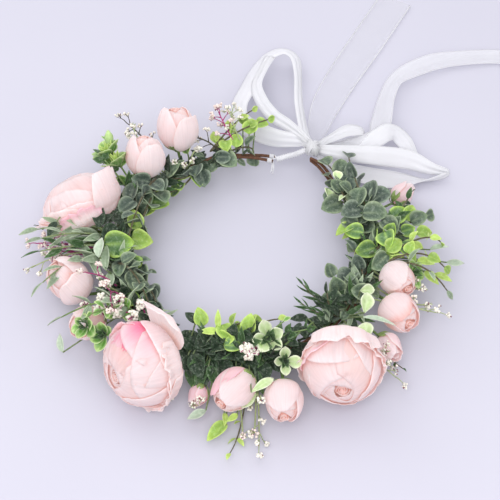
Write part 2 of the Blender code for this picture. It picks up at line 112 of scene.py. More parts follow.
def through(points, count):
    """count points on a smooth path through the given points, evenly spread over its control points."""
    p = np.asarray(points, float)
    p = np.vstack([2 * p[0] - p[1], p, 2 * p[-1] - p[-2]])
    t = np.linspace(0, len(p) - 3, count)
    i = np.minimum(t.astype(int), len(p) - 4)
    t = (t - i)[:, None]
    a, b, c, d = p[i], p[i + 1], p[i + 2], p[i + 3]
    return 0.5 * (2 * b + (c - a) * t + (2 * a - 5 * b + 4 * c - d) * t**2 + (3 * b - a - 3 * c + d) * t**3)


def bezier(foot, mid, tip, count):
    t = np.linspace(0, 1, count)[:, None]
    control = 2 * mid - (foot + tip) / 2
    return foot * (1 - t) ** 2 + control * 2 * t * (1 - t) + tip * t * t


def tangents(path):
    d = np.gradient(path, axis=0)
    return d / np.maximum(1e-9, np.linalg.norm(d, axis=1))[:, None]


def wobble(shape, seed, size):
    """Smooth, repeatable waves over a grid of any size, between -1 and 1."""
    r = np.random.default_rng(seed)
    u = np.linspace(0, 1, shape[0])[:, None]
    v = np.linspace(0, 1, shape[1])[None, :]
    total = np.zeros(shape)
    for _ in range(5):
        a, b, c = r.uniform(-size, size), r.uniform(-size, size), r.uniform(0, 6.3)
        total = total + np.sin(a * u + b * v + c)
    return total / 5


# ------------------------------------------------------------------ meshes


class Shell:
    """Gathers grids, tubes and beads, each point with a colour and a place on its own surface."""

    def __init__(self):
        self.points, self.colours, self.places, self.faces, self.count = [], [], [], [], 0

    def _add(self, points, colours, places, faces):
        self.points.append(points)
        self.colours.append(np.broadcast_to(colours, (len(points), 3)))
        self.places.append(places)
        self.faces.extend((f + self.count).tolist() for f in faces)
        self.count += len(points)

    def grid(self, points, colours, ring=False):
        n, m = points.shape[:2]
        i, j = np.meshgrid(np.arange(n - 1), np.arange(m if ring else m - 1), indexing="ij")
        k = (j + 1) % m
        quads = np.stack([i * m + j, i * m + k, (i + 1) * m + k, (i + 1) * m + j], -1).reshape(-1, 4)
        u, v = np.meshgrid(np.linspace(0, 1, m), np.linspace(0, 1, n))
        places = np.stack([u, v], -1).reshape(-1, 2)
        faces = list(quads)
        if ring:
            faces += [np.arange(m)[::-1], np.arange(m) + (n - 1) * m]
        colours = np.broadcast_to(colours, points.shape).reshape(-1, 3)
        self._add(points.reshape(-1, 3), colours, places, faces)

    def tube(self, path, radius, colours, sides=8):
        """A closed tube along path. radius is one number, one per point, or one per point and side."""
        ahead = tangents(path)
        side = unit(np.cross(ahead[0], UP + 0.01))
        rings = []
        n = len(path)
        radius = np.asarray(radius, float)
        if radius.ndim < 2:
            radius = np.broadcast_to(radius.reshape(-1, 1), (n, sides))
        a = np.linspace(0, 2 * math.pi, sides, endpoint=False)
        for p, d, r in zip(path, ahead, radius):
            side = unit(side - d * (side @ d))
            other = np.cross(d, side)
            rings.append(p + (np.outer(np.cos(a), side) + np.outer(np.sin(a), other)) * r[:, None])
        colours = np.asarray(colours, float)
        if colours.ndim == 2:
            colours = colours[:, None, :]
        self.grid(np.array(rings), np.broadcast_to(colours, (n, sides, 3)), ring=True)

    def bead(self, centre, size, colour, rng, lumpy=0.15):
        points = BEAD[0] * (1 + lumpy * rng.uniform(-1, 1, (len(BEAD[0]), 1)))
        self._add(points * size + centre, colour, np.zeros((len(points), 2)), BEAD[1])

    def make(self, name, body, material, replaces=(), thick=0.0, slot=None, blend=None):
        points = np.vstack(self.points)
        points[:, 2] = np.maximum(points[:, 2], REST_HEIGHT)
        points = (points + CROWN) * MM
        mesh = bpy.data.meshes.new(name)
        mesh.from_pydata(points.tolist(), [], self.faces)
        tint = mesh.color_attributes.new("Tint", "FLOAT_COLOR", "POINT")
        rgba = np.ones((len(points), 4), np.float32)
        rgba[:, :3] = np.vstack(self.colours)
        tint.data.foreach_set("color", rgba.ravel())
        corner = np.empty(len(mesh.loops), np.int32)
        mesh.loops.foreach_get("vertex_index", corner)
        uv = mesh.uv_layers.new(name="Place")
        uv.data.foreach_set("uv", np.vstack(self.places)[corner].astype(np.float32).ravel())
        mesh.shade_smooth()
        mesh.materials.append(material)
        obj = bpy.data.objects.new(name, mesh)
        bpy.context.scene.collection.objects.link(obj)
        if thick:
            solid = obj.modifiers.new("Thickness", "SOLIDIFY")
            solid.thickness = thick * MM
            solid.offset = 0
        if blend:
            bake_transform(obj)
        else:
            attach(obj, body)
        if replaces:
            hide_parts(*replaces)
        return obj


def bead_template():
    bm = bmesh.new()
    bmesh.ops.create_icosphere(bm, subdivisions=1, radius=1.0)
    points = np.array([v.co for v in bm.verts])
    faces = [np.array([v.index for v in f.verts]) for f in bm.faces]
    bm.free()
    return points, faces


BEAD = bead_template()
BURGUNDY = (0.22, 0.05, 0.08)


# ------------------------------------------------------------------ places, from the CAD nodes


def cad_points(*nodes):
    rows = []
    for n in nodes:
        mesh = frame["nodes"][n].data
        co = np.empty(len(mesh.vertices) * 3, np.float32)
        mesh.vertices.foreach_get("co", co)
        rows.append(co.reshape(-1, 3))
    points = np.vstack(rows).astype(float) / MM - CROWN
    return np.unique(np.round(points, 3), axis=0)


def ring_radius():
    p = cad_points("wire_left_a", "wire_left_b")
    return float(np.hypot(p[:, 0], p[:, 1]).mean())


RING = ring_radius()


def off_ring(points):
    return np.hypot(np.hypot(points[:, 0], points[:, 1]) - RING, points[:, 2] - RING_HEIGHT)


def angle_of(p):
    return math.degrees(math.atan2(p[1], p[0]))


class Spot:
    """Where a flower sits: the bottom of its petals, its axis, half its width and its depth."""

    def __init__(self, petals, calyx):
        near = np.linalg.norm(petals[:, None] - calyx[None], axis=2).min(1)
        self.base = petals[np.argsort(near)[:12]].mean(0)
        self.aim(petals.mean(0) - self.base)
        rel = petals - self.base
        height = rel @ self.axis
        self.base = self.base + self.axis * height.min()
        self.half = np.linalg.norm(rel - np.outer(height, self.axis), axis=1).max()
        self.deep = height.max() - height.min()

    def aim(self, axis):
        self.axis = unit(axis)
        self.y = unit(UP - self.axis * self.axis[2])
        self.x = np.cross(self.y, self.axis)

    def place(self, r, theta, z):
        out = self.x * np.cos(theta)[..., None] + self.y * np.sin(theta)[..., None]
        return self.base + out * r[..., None] + self.axis * z[..., None]


HEADS = []


def near_head(p, margin=0.0):
    return any(np.linalg.norm(p - c) < r + margin for c, r in HEADS)


# ------------------------------------------------------------------ materials


class Nodes:
    """A new material. Sockets are named by their input's name or number; values are links or constants."""

    def __init__(self, name):
        self.material = bpy.data.materials.new(name)
        self.material.use_nodes = True
        self.tree = self.material.node_tree
        self.tree.nodes.clear()
        self.output = self.add("OutputMaterial")

    def add(self, kind, settings=None, **sockets):
        made = self.tree.nodes.new("ShaderNode" + kind)
        for key, value in (settings or {}).items():
            setattr(made, key, value)
        for key, value in sockets.items():
            name = int(key[1:]) if key[1:].isdigit() else key.replace("_", " ")
            if isinstance(value, bpy.types.NodeSocket):
                self.tree.links.new(value, made.inputs[name])
            else:
                made.inputs[name].default_value = value
        return made

    def math(self, operation, *values):
        sockets = {f"_{i}": value for i, value in enumerate(values)}
        return self.add("Math", {"operation": operation}, **sockets).outputs[0]

    def remap(self, value, low, high, to_low, to_high):
        made = self.add("MapRange", Value=value, From_Min=low, From_Max=high, To_Min=to_low, To_Max=to_high)
        return made.outputs["Result"]

    def mix(self, share, one, other, way="MIX"):
        made = self.add("Mix", {"data_type": "RGBA", "blend_type": way}, _0=share, _6=one, _7=other)
        return made.outputs[2]

    def brighten(self, colour, value):
        return self.add("HueSaturation", Color=colour, Value=value).outputs["Color"]

    def noise(self, where, scale, detail, **more):
        return self.add("TexNoise", Vector=where, Scale=scale, Detail=detail, **more).outputs["Fac"]

    def bump(self, height, strength, distance, **more):
        return self.add("Bump", Height=height, Strength=strength, Distance=distance,
                        **more).outputs["Normal"]

    def here(self):
        return self.add("TexCoord").outputs["Object"]

    def place(self):
        """The piece's own map: across it, then along it."""
        return self.add("UVMap", {"uv_map": "Place"}).outputs["UV"]

    def threads(self, across, along, detail):
        """Fine lines that run along the piece."""
        stretched = self.add("Mapping", Vector=self.place(), Scale=(across, along, 1)).outputs["Vector"]
        return self.noise(stretched, 1.0, detail)

    def tint(self, mottle, amount):
        """The painted tint, lighter and darker with the mottle."""
        painted = self.add("Attribute", {"attribute_name": "Tint"}).outputs["Color"]
        return self.brighten(painted, self.remap(mottle, 0.3, 0.7, 1 - amount, 1 + amount))

    def off_middle(self):
        """How far across the piece a point is from its middle line, and how far along."""
        parts = self.add("SeparateXYZ", Vector=self.place())
        return self.math("ABSOLUTE", self.math("SUBTRACT", parts.outputs["X"], 0.5)), parts.outputs["Y"]

    def plain(self, colour, normal, **surface):
        return self.add("BsdfPrincipled", Base_Color=colour, Normal=normal, **surface).outputs[0]

    def thin(self, colour, normal, share, **surface):
        """A surface that lets a share of the light through."""
        light = self.add("BsdfTranslucent", Color=colour, Normal=normal).outputs[0]
        return self.add("MixShader", _0=share, _1=self.plain(colour, normal, **surface), _2=light).outputs[0]

    def finish(self, shader):
        self.tree.links.new(shader, self.output.inputs["Surface"])
        return self.material


def petal_material():
    n = Nodes("petal_cloth")
    veins = n.threads(30, 1.4, 4.0)
    colour = n.tint(n.noise(n.here(), 90.0, 3.0), 0.02)
    colour = n.brighten(colour, n.remap(veins, 0.32, 0.68, 0.95, 1.03))
    # painted shade: where ambient occlusion finds a crease or an overlap, the petal colour is multiplied towards
    # peach, a warm shade painted into the folds between petals
    open_to_light = n.add("AmbientOcclusion", {"samples": 6}, Distance=0.0035).outputs["AO"]
    warm = n.mix(1.0, colour, (0.98, 0.79, 0.74, 1), "MULTIPLY")
    shown = n.mix(n.math("POWER", open_to_light, 1.5), warm, colour)
    weave = n.add("TexVoronoi", Vector=n.here(), Scale=3200.0).outputs["Distance"]
    normal = n.bump(weave, 0.08, 0.0001, Normal=n.bump(veins, 0.5, 0.0009))
    # painted light: the petals also glow faintly in their own colour (emission 0.13), though they are no lamp
    return n.finish(n.thin(shown, normal, 0.38, Roughness=0.62, Subsurface_Weight=0.45,
                           Subsurface_Scale=0.004,
                           Subsurface_Radius=(1.0, 0.68, 0.62), Sheen_Weight=0.1, Sheen_Roughness=0.5,
                           Specular_IOR_Level=0.25, Emission_Color=shown, Emission_Strength=0.13))


def leaf_material():
    n = Nodes("leaf_plastic")
    mottle = n.noise(n.here(), 260.0, 5.0)
    dust = n.remap(n.noise(n.here(), 520.0, 6.0, Roughness=0.7), 0.5, 0.72, 0.0, 0.30)
    colour = n.mix(dust, n.tint(mottle, 0.16), (0.62, 0.68, 0.58, 1))
    away, along = n.off_middle()
    slant = n.math("MULTIPLY_ADD", away, -1.1, along)
    side_veins = n.math("SINE", n.math("MULTIPLY", slant, 44.0))
    height = n.math("MULTIPLY_ADD", side_veins, 0.35, n.remap(away, 0.0, 0.05, -1.2, 0.0))
    normal = n.bump(mottle, 0.25, 0.0004, Normal=n.bump(height, 0.5, 0.00025))
    return n.finish(n.thin(colour, normal, 0.15, Roughness=0.55, Specular_IOR_Level=0.35, Sheen_Weight=0.1))


def paper_material():
    n = Nodes("wrapped_paper")
    fibres = n.noise(n.here(), 700.0, 6.0)
    colour = n.tint(fibres, 0.3)
    return n.finish(n.plain(colour, n.bump(fibres, 0.6, 0.0004), Roughness=0.78, Specular_IOR_Level=0.25))


def satin_material(name, clear):
    """Ribbon with solid hems. clear is how much of what lies behind shows through between them."""
    n = Nodes(name)
    colour = n.tint(n.noise(n.here(), 40.0, 3.0), 0.02)
    normal = n.bump(n.threads(60, 3, 2.0), 0.12, 0.0003)
    woven = n.thin(colour, normal, 0.35, Roughness=0.30, Sheen_Weight=0.35, Sheen_Roughness=0.4,
                   Specular_IOR_Level=0.7, Anisotropic=0.5)
    gaps = n.add("BsdfTransparent", Color=(1, 1, 1, 1)).outputs[0]
    inside_hem = n.remap(n.off_middle()[0], 0.455, 0.485, clear, 0.0)
    return n.finish(n.add("MixShader", _0=inside_hem, _1=woven, _2=gaps).outputs[0])


PETAL = petal_material()
LEAF = leaf_material()
PAPER = paper_material()
SATIN = satin_material("satin_ribbon", 0.14)
SHEER = satin_material("sheer_ribbon", 0.86)
THIN = satin_material("thin_ribbon", 0.55)


# ------------------------------------------------------------------ petals

WAIST = 0.46
ROSE_PETAL_THICK, BUD_PETAL_THICK, LEAF_THICK, UNDERGROWTH_THICK = 0.28, 0.26, 0.3, 0.28
KNOT_THICK, LOOP_THICK, TAIL_THICK = 0.3, 0.22, 0.2

WHITE_PINK = (0.90, 0.865, 0.885)
BLUSH = (0.90, 0.83, 0.845)
# peach: partly the petals' own warm tint, partly painted warm shade at the petal feet and in the folds of the
# hearts
PEACH_AND_FOLD_SHADE = (0.92, 0.70, 0.63)
ROSE_PINK = (0.90, 0.30, 0.48)
RUFFLE_PINK = (0.93, 0.89, 0.90)
ROSY_RIM = (0.92, 0.70, 0.78)
CALYX_DARK = (0.10, 0.17, 0.04)


def warmed(amount):
    """From blush, at 0, to peach, at 1. The peach is partly the petals' own warm tint and partly painted warm
    shade of the folds.
    """
    return mix(BLUSH, PEACH_AND_FOLD_SHADE, amount)


def petal(shell, spot, turn, width, profile, rng, *, rows=23, cols=29, cup=0.0, tuck=0.0, curl=0.0,
          ruffle=0.0, waves=3.0, corner=0.22, point=0.0, notch=0.0, crease=0.0, deep=PEACH_AND_FOLD_SHADE, body=BLUSH,
          rim=WHITE_PINK, stain=None, narrow=0.35):
    """One petal. profile is its middle line as (radius, height) in millimetres from the flower's base."""
    v = np.linspace(0, 1, rows)[:, None] * np.ones((1, cols))
    u = np.linspace(-1, 1, cols)[None, :] * np.ones((rows, 1))
    line = through([(r, 0, z) for r, z in profile], 60)
    step = np.hypot(np.diff(line[:, 0]), np.diff(line[:, 2]))
    run = np.concatenate([[0], np.cumsum(step)]) / step.sum()
    reach = v * (1 - corner * np.abs(u) ** 2.6 + point * (1 - np.abs(u)) ** 1.5 * v
                 - notch * np.exp(-((u / 0.13) ** 2)) * v)
    r = np.interp(reach, run, line[:, 0])
    z = np.interp(reach, run, line[:, 2])
    spread = narrow + (1 - narrow) * np.sin(np.minimum(v / 0.62, 1.0) * math.pi / 2)
    theta = math.radians(turn) + u * math.radians(width) * spread
    p1, p2, p3 = rng.uniform(0, 6.3, 3)
    r = r * (1 - cup * u**2) + tuck * u * smooth(v * 2)
    s = smooth((reach - 0.8) / 0.2)
    lip = curl * s * (1 + 0.35 * np.sin(2.6 * u + p1))
    r = r + lip
    z = z - 0.5 * lip * s
    ripple = np.sin(waves * math.pi * u + p2) + 0.5 * np.sin(waves * 2.3 * math.pi * u + p3)
    wave = ruffle * reach**3 * ripple
    r = r + wave * 0.7
    z = z + wave * 0.6 * np.cos(2 * u + p1)
    r = r - crease * np.exp(-(((u - 0.15 * np.sin(p3)) / 0.16) ** 2)) * smooth(v * 1.6)
    for where, depth in zip(rng.uniform(-0.75, 0.75, 4), rng.uniform(0.1, 0.42, 4)):
        r = r - depth * np.exp(-(((u - where - 0.1 * v) / 0.07) ** 2)) * smooth(v * 1.4 - 0.2)
    r = np.maximum(r + 0.45 * wobble(r.shape, int(p1 * 1e6), 6.0) * smooth(v * 2), 0.2)
    # painted shade: the petal's foot takes its deep colour, peach by default, as warm shade down in the folds,
    # fading to the body colour further out
    fold_shade_fade = smooth(v / 0.4)
    colour = mix(deep, body, fold_shade_fade)
    edge = np.maximum(smooth((v - 0.72) / 0.28), smooth((np.abs(u) - 0.76) / 0.24) * 0.8)
    colour = mix(colour, rim, edge * 0.9)
    if stain is not None:
        where, wide, tone = stain
        away = (np.degrees(theta) - where + 180) % 360 - 180
        colour = mix(colour, tone,
                     0.95 * np.exp(-((away / wide) ** 2)) * np.exp(-(((v - 0.62) / 0.26) ** 2)))
    shell.grid(spot.place(r, theta, z), colour)


def petal_layer(shell, spot, count, turn, width, profile, rng, **style):
    for i in range(count):
        size = 1 + rng.uniform(-0.03, 0.03)
        lift = rng.uniform(-0.6, 0.6)
        shaped = [(r * size, z * size + lift * k / len(profile)) for k, (r, z) in enumerate(profile)]
        petal(shell, spot, turn + 360 / count * i + rng.uniform(-9, 9), width * rng.uniform(0.94, 1.06),
              shaped, rng, **style)


def roll(shell, spot, out, low, high, turns, tone, rim, wide):
    """A rolled heart: a spiral wall of petal over a small closed floor."""
    t = np.linspace(0, 1, 80)
    v = np.linspace(0, 1, 6)[:, None]
    theta = turns * 2 * math.pi * t[None, :] * np.ones((6, 1))
    r = out * (0.10 + 0.90 * t[None, :]) * (0.92 + 0.12 * v)
    z = low + (high - low) * v - 0.10 * (high - low) * t[None, :] + 0.25 * np.sin(9 * t[None, :]) * v
    # painted shade: tone, the heart's warm shade, covers the floor and the foot of the wall, which lightens to rim
    # at the top
    shell.grid(spot.place(r, theta, z), mix(tone, rim, smooth(v * 1.2 - 0.2) * np.ones_like(r)))
    a = np.linspace(0, 2 * math.pi, 25)[None, :] * np.ones((5, 1))
    r = np.linspace(0.3, wide, 5)[:, None] * np.ones((1, 25))
    floor = (low + high) / 2 - 0.5 * (high - low) * (r / wide) ** 2
    shell.grid(spot.place(r, a, floor), tone)


def dome(half, deep, rim, lift=0.0, start=0.3, steps=9):
    """The outline of a ball-shaped bloom, from under its base over its waist to a rim of the given radius."""
    waist = WAIST * deep
    line = []
    for a in np.linspace(start, math.pi - math.asin(min(rim, 0.999)), steps):
        rise = waist if a < math.pi / 2 else deep - waist
        line.append(((half + lift) * math.sin(a), waist - (rise + lift) * math.cos(a)))
    return line


def rose(prefix, body, extras, turn=0.0, warm=1.0, stain=None, eye=0.15, corner=0.24, nudge=0.0,
         swell=(1.0, 1.0)):
    """A full rose: a small eye in petals that lie over one another round a ball, and ruffled outer petals."""
    rng = rng_for(prefix)
    spot = Spot(cad_points(prefix + "_outer_petals", prefix + "_inner_petals"),
                cad_points(prefix + "_calyx"))
    spot.base = spot.base + nudge
    half, deep = spot.half / 1.03 * swell[0], spot.deep * swell[1]
    HEADS.append((spot.base + spot.axis * deep * WAIST, half * 0.98))
    # painted shade: the rolled heart and the inner petals are painted peach, warm shade deep in the folds,
    # stronger the warmer the rose
    heart_fold_shade = warmed(0.95 * warm)
    fold_shade_tone = warmed(0.4 * warm)

    def line(*steps):
        return [(r * half, z * deep) for r, z in steps]

    def layer(shell, count, turned, width, profile, **style):
        petal_layer(shell, spot, count, turn + turned, width, profile, rng, **style)

    def ball(wider, lift, *start):
        return dome(half, deep, eye + wider, lift, *start)

    inner = Shell()
    roll(inner, spot, 0.8 * eye * half, 0.80 * deep, 0.955 * deep, 2.3, heart_fold_shade, fold_shade_tone,
         (eye + 0.30) * half)
    layer(inner, 3, 40, 96, line((0.06, 0.5), (eye, 0.74), (0.95 * eye, 0.955)), corner=0.08, tuck=0.7,
          deep=heart_fold_shade, body=heart_fold_shade, rim=fold_shade_tone, narrow=0.9)
    layer(inner, 3, 70, 92, ball(0.05, -1.7, 1.2), corner=0.14, tuck=0.8, curl=-0.2,
          deep=heart_fold_shade, body=fold_shade_tone, rim=BLUSH, narrow=0.9)
    layer(inner, 3, 120, 84, ball(0.13, -1.3, 1.1), corner=0.15, tuck=0.8, curl=0.1,
          deep=fold_shade_tone, body=fold_shade_tone, rim=BLUSH, narrow=0.85)
    layer(inner, 3, 10, 88, ball(0.24, -0.9, 1.0), corner=corner, tuck=0.9, curl=0.2,
          deep=fold_shade_tone, body=warmed(0.15 * warm), narrow=0.8, stain=stain)
    inner.make(prefix + "_heart", body, PETAL, [prefix + "_inner_petals"], ROSE_PETAL_THICK, "inner_petal")

    outer = Shell()
    layer(outer, 4, 55, 64, ball(0.38, -0.4), corner=corner + 0.10, tuck=1.2, curl=0.5, crease=0.3,
          ruffle=0.4,
          narrow=0.6, stain=stain)
    layer(outer, 4, 100, 60, ball(0.58, 0.2), corner=corner + 0.14, tuck=1.5, curl=0.9, crease=0.5,
          ruffle=0.6,
          narrow=0.55, stain=stain)
    layer(outer, 5, 15, 54, dome(half, deep, 0.985, 1.0), corner=0.22, tuck=1.2, curl=2.2, ruffle=1.0,
          waves=4.0,
          body=mix(BLUSH, WHITE_PINK, 0.5))
    for angle, width, reach, height, curl, ruffle, style in extras:
        style = dict(style)
        lean = style.pop("lean", 1.02)
        side = line((0.2, 0.02), (0.86 * reach, 0.32 * height), (reach, 0.72 * height),
                    (reach * lean, height))
        petal(outer, spot, angle, width, side, rng, rows=27, cols=31, curl=curl, ruffle=ruffle, **style)
    outer.make(prefix + "_petals", body, PETAL, [prefix + "_outer_petals"], ROSE_PETAL_THICK, "petal")
    calyx(prefix, body, spot, 0.56 * half, 0.16 * deep)


def bud(prefix, body, turn=0.0, rim=0.34, extras=(), tint=0.0, wraps=3, corner=0.34, swell=(1.0, 1.0)):
    """A half-open rosebud: a few broad petals folded over a rolled heart."""
    rng = rng_for(prefix)
    spot = Spot(cad_points(prefix + "_petals"), cad_points(prefix + "_calyx"))
    half, deep = spot.half * swell[0], spot.deep * swell[1]
    HEADS.append((spot.base + spot.axis * deep * WAIST, 0.5 * deep))
    body_tint = warmed(0.12 + tint)
    fold_shade_tone = warmed(0.55 + tint)

    shell = Shell()
    # painted shade: the rolled heart and the inner petals are painted peach, warm shade down inside the bud
    roll(shell, spot, 0.24 * half, 0.74 * deep, 0.93 * deep, 2.0, warmed(0.9), fold_shade_tone,
         0.55 * half)
    petal_layer(shell, spot, 3, turn + 30, 92, dome(half, deep * 0.97, rim, -1.0, 0.8), rng, corner=0.2,
                tuck=0.8, curl=0.2, deep=PEACH_AND_FOLD_SHADE, body=fold_shade_tone, rim=BLUSH, narrow=0.8)
    petal_layer(shell, spot, wraps, turn + 75, 232 / wraps, dome(half, deep * 0.98, rim + 0.22, -0.2), rng,
                corner=corner, tuck=0.9, curl=0.4, crease=0.3, ruffle=0.2,
                deep=mix(body_tint, PEACH_AND_FOLD_SHADE, 0.25), body=body_tint, narrow=0.6)
    for angle, width, close, height, curl, style in extras:
        style = dict(dict(corner=0.5, point=0.06, narrow=0.45, lift=1.0), **style)
        line = dome(half, deep * height, close, style.pop("lift"))
        petal(shell, spot, angle, width, line, rng, rows=25, cols=25, curl=curl, **style)
    shell.make(prefix + "_bloom", body, PETAL, [prefix + "_petals"], BUD_PETAL_THICK, "petal")
    calyx(prefix, body, spot, 0.66 * half, 0.2 * deep)


def calyx(prefix, body, spot, spread, length):
    """Green cup, five pointed sepals and the stem that joins the wires."""
    rng = rng_for(prefix + "calyx")
    green, tip = (0.20, 0.30, 0.07), (0.38, 0.48, 0.16)
    shell = Shell()
    for i in range(5):
        line = [(1.0, -2.2), (spread * 0.62, -0.3), (spread * 1.03 + 0.8, length * 0.45),
                (spread * 1.05 + 1.2, length)]
        petal(shell, spot, 72 * i + rng.uniform(-8, 8), 24, line, rng, rows=10, cols=7, corner=0.1,
              point=0.35,
              curl=0.8, deep=CALYX_DARK, body=green, rim=tip, narrow=0.5)
    points = cad_points(prefix + "_calyx")
    foot = points[np.argsort(off_ring(points))[:5]].mean(0)
    neck = spot.base - spot.axis * 2.0
    mid = (foot + neck) / 2 - spot.axis * 0.2 * np.linalg.norm(neck - foot)
    path = bezier(foot, mid, neck, 12)
    shell.tube(path, np.linspace(0.9, 1.0, 12), CALYX_DARK)
    cup = spot.base - spot.axis * np.array([3.0, 2.4, 1.4, 0.6])[:, None]
    shell.tube(cup, [1.0, 2.2, 3.0, 3.2], green, sides=14)
    shell.make(prefix + "_sepals", body, LEAF, [prefix + "_calyx"], LEAF_THICK, "calyx")


def small_bud(name, body, half, pink):
    """A closed bud on a thin stem."""
    rng = rng_for(name)
    points = cad_points(name)
    foot = points[np.argsort(off_ring(points))[:4]].mean(0)
    order = np.argsort(np.linalg.norm(points - foot, axis=1))
    head = points[order[-48:]]
    spot = Spot(head, points[order[:20]])
    spot.half = half
    HEADS.append((spot.base + spot.axis * spot.deep * 0.5, 0.5 * spot.deep))
    shell = Shell()
    tint = mix(BLUSH, ROSE_PINK, pink)
    line = [(0.1 * half, 0), (0.8 * half, 0.22 * spot.deep), (half, 0.5 * spot.deep),
            (0.5 * half, spot.deep)]
    petal_layer(shell, spot, 3, 20, 75, line, rng, corner=0.3, point=0.1, tuck=0.8, curl=0.5, deep=tint,
                body=tint, narrow=0.6)
    petal_layer(shell, spot, 2, 80, 110, [(r * 0.6, z * 0.97) for r, z in line], rng, corner=0.2, deep=tint,
                body=tint, narrow=0.7)
    shell.make(name + "_bloom", body, PETAL, [name], BUD_PETAL_THICK, "petal")
    green = Shell()
    for i in range(4):
        line = [(0.4, -1.2), (half * 0.7, 0.05 * spot.deep), (half + 0.5, 0.36 * spot.deep)]
        petal(green, spot, 90 * i, 26, line, rng, rows=8, cols=5, point=0.3, deep=CALYX_DARK,
              body=(0.22, 0.32, 0.08), rim=(0.35, 0.45, 0.15))
    mid = (foot + spot.base) / 2 - spot.axis * 0.2 * np.linalg.norm(spot.base - foot)
    green.tube(bezier(foot, mid, spot.base, 10), 0.7, (0.16, 0.25, 0.07))
    green.make(name + "_stem", body, LEAF, thick=LEAF_THICK, slot="calyx")


# ------------------------------------------------------------------ leaves

LEAVES = {
    # lean and full shape the outline; then the colour of the middle, the rim and the tip
    "gum": dict(lean=0.85, full=0.55, mid=(0.075, 0.115, 0.076), rim=(0.38, 0.47, 0.28),
                tip=(0.18, 0.27, 0.14)),
    "grey": dict(lean=0.85, full=0.50, mid=(0.052, 0.080, 0.062), rim=(0.34, 0.42, 0.30),
                 tip=(0.12, 0.18, 0.12)),
    "gum_young": dict(lean=0.75, full=0.70, mid=(0.28, 0.45, 0.08), rim=(0.60, 0.78, 0.20),
                      tip=(0.54, 0.72, 0.14)),
    "gum_turning": dict(lean=0.78, full=0.62, mid=(0.10, 0.20, 0.07), rim=(0.55, 0.78, 0.16),
                        tip=(0.42, 0.68, 0.07)),
    "box": dict(lean=1.25, full=0.75, mid=(0.12, 0.32, 0.04), rim=(0.74, 0.86, 0.46),
                tip=(0.60, 0.78, 0.30)),
    "cream": dict(lean=1.3, full=0.75, mid=(0.55, 0.70, 0.34), rim=(0.90, 0.93, 0.74),
                  tip=(0.86, 0.91, 0.66)),
    "fern": dict(lean=0.7, full=0.9, mid=(0.030, 0.080, 0.02), rim=(0.09, 0.19, 0.06),
                 tip=(0.11, 0.24, 0.06)),
    "willow": dict(lean=0.8, full=0.9, mid=(0.26, 0.34, 0.22), rim=(0.52, 0.62, 0.44),
                   tip=(0.46, 0.56, 0.36)),
    # dark: leaves painted near-black, painted shade for the deep shadow in the gaps between leaves and flowers
    "dark": dict(lean=0.8, full=0.8, mid=(0.012, 0.030, 0.013), rim=(0.045, 0.09, 0.04),
                 tip=(0.03, 0.06, 0.03)),
    "lime": dict(lean=0.8, full=0.9, mid=(0.44, 0.60, 0.13), rim=(0.66, 0.82, 0.26), tip=(0.62, 0.80, 0.22)),
    "haze": dict(lean=0.9, full=0.9, mid=(0.44, 0.54, 0.40), rim=(0.66, 0.72, 0.60), tip=(0.66, 0.72, 0.60)),
}


def leaf(shell, start, ahead, up, length, width, kind, rng, fold=0.18, curl=0.2, twist=0.0, notch=0.0,
         rows=11,
         cols=9):
    style = LEAVES[kind]
    v = np.linspace(0, 1, rows)[:, None] * np.ones((1, cols))
    u = np.linspace(-1, 1, cols)[None, :] * np.ones((rows, 1))
    across = unit(np.cross(up, ahead))
    up = np.cross(ahead, across)
    outline = np.maximum(np.sin(math.pi * np.clip(v, 0.0, 1.0) ** style["lean"]), 0) ** style["full"]
    outline = np.maximum(outline, 0.05)
    wave = 0.10 * width * wobble(v.shape, int(rng.integers(1e9)), 6.0)
    turn = twist * v
    side = across * np.cos(turn)[..., None] + up * np.sin(turn)[..., None]
    reach = v * (1 - notch * np.exp(-((u / 0.3) ** 2)) * v)
    points = (start + ahead * (length * reach)[..., None] + side * (width * outline * u)[..., None]
              + up * (-curl * length * v**2 + fold * width * outline * np.abs(u) ** 1.4 + wave)[..., None])
    edge = smooth((np.maximum(np.abs(u), (v - 0.5) * 2) - 0.62) / 0.38)
    colour = mix(style["mid"], style["rim"], edge * 0.85)
    colour = mix(colour, style["tip"], smooth((v - 0.55) / 0.45) * 0.5)
    rib = np.exp(-((u / 0.1) ** 2)) * (1 - v)
    colour = mix(colour, style["rim"], rib * 0.5) * (1 + 0.14 * rng.uniform(-1, 1))
    shell.grid(points, colour)


def sprig_line(name):
    """Foot, middle and tip of the sprig's CAD node."""
    points = cad_points(name)
    foot = points[np.argsort(off_ring(points))[:4]].mean(0)
    far = np.linalg.norm(points - foot, axis=1)
    tip = points[np.argsort(far)[-4:]].mean(0)
    along = (points - foot) @ unit(tip - foot) / np.linalg.norm(tip - foot)
    mid = points[np.abs(along - 0.5) < 0.2]
    mid = mid.mean(0) if len(mid) else (foot + tip) / 2
    return foot, mid, tip


STEM_RADIUS = 0.65
FIRST_LEAF = 0.15
SMALLER_AT_TIP = 0.35
TURN_PER_PAIR = 65.0
TURN_PER_TRY = 40


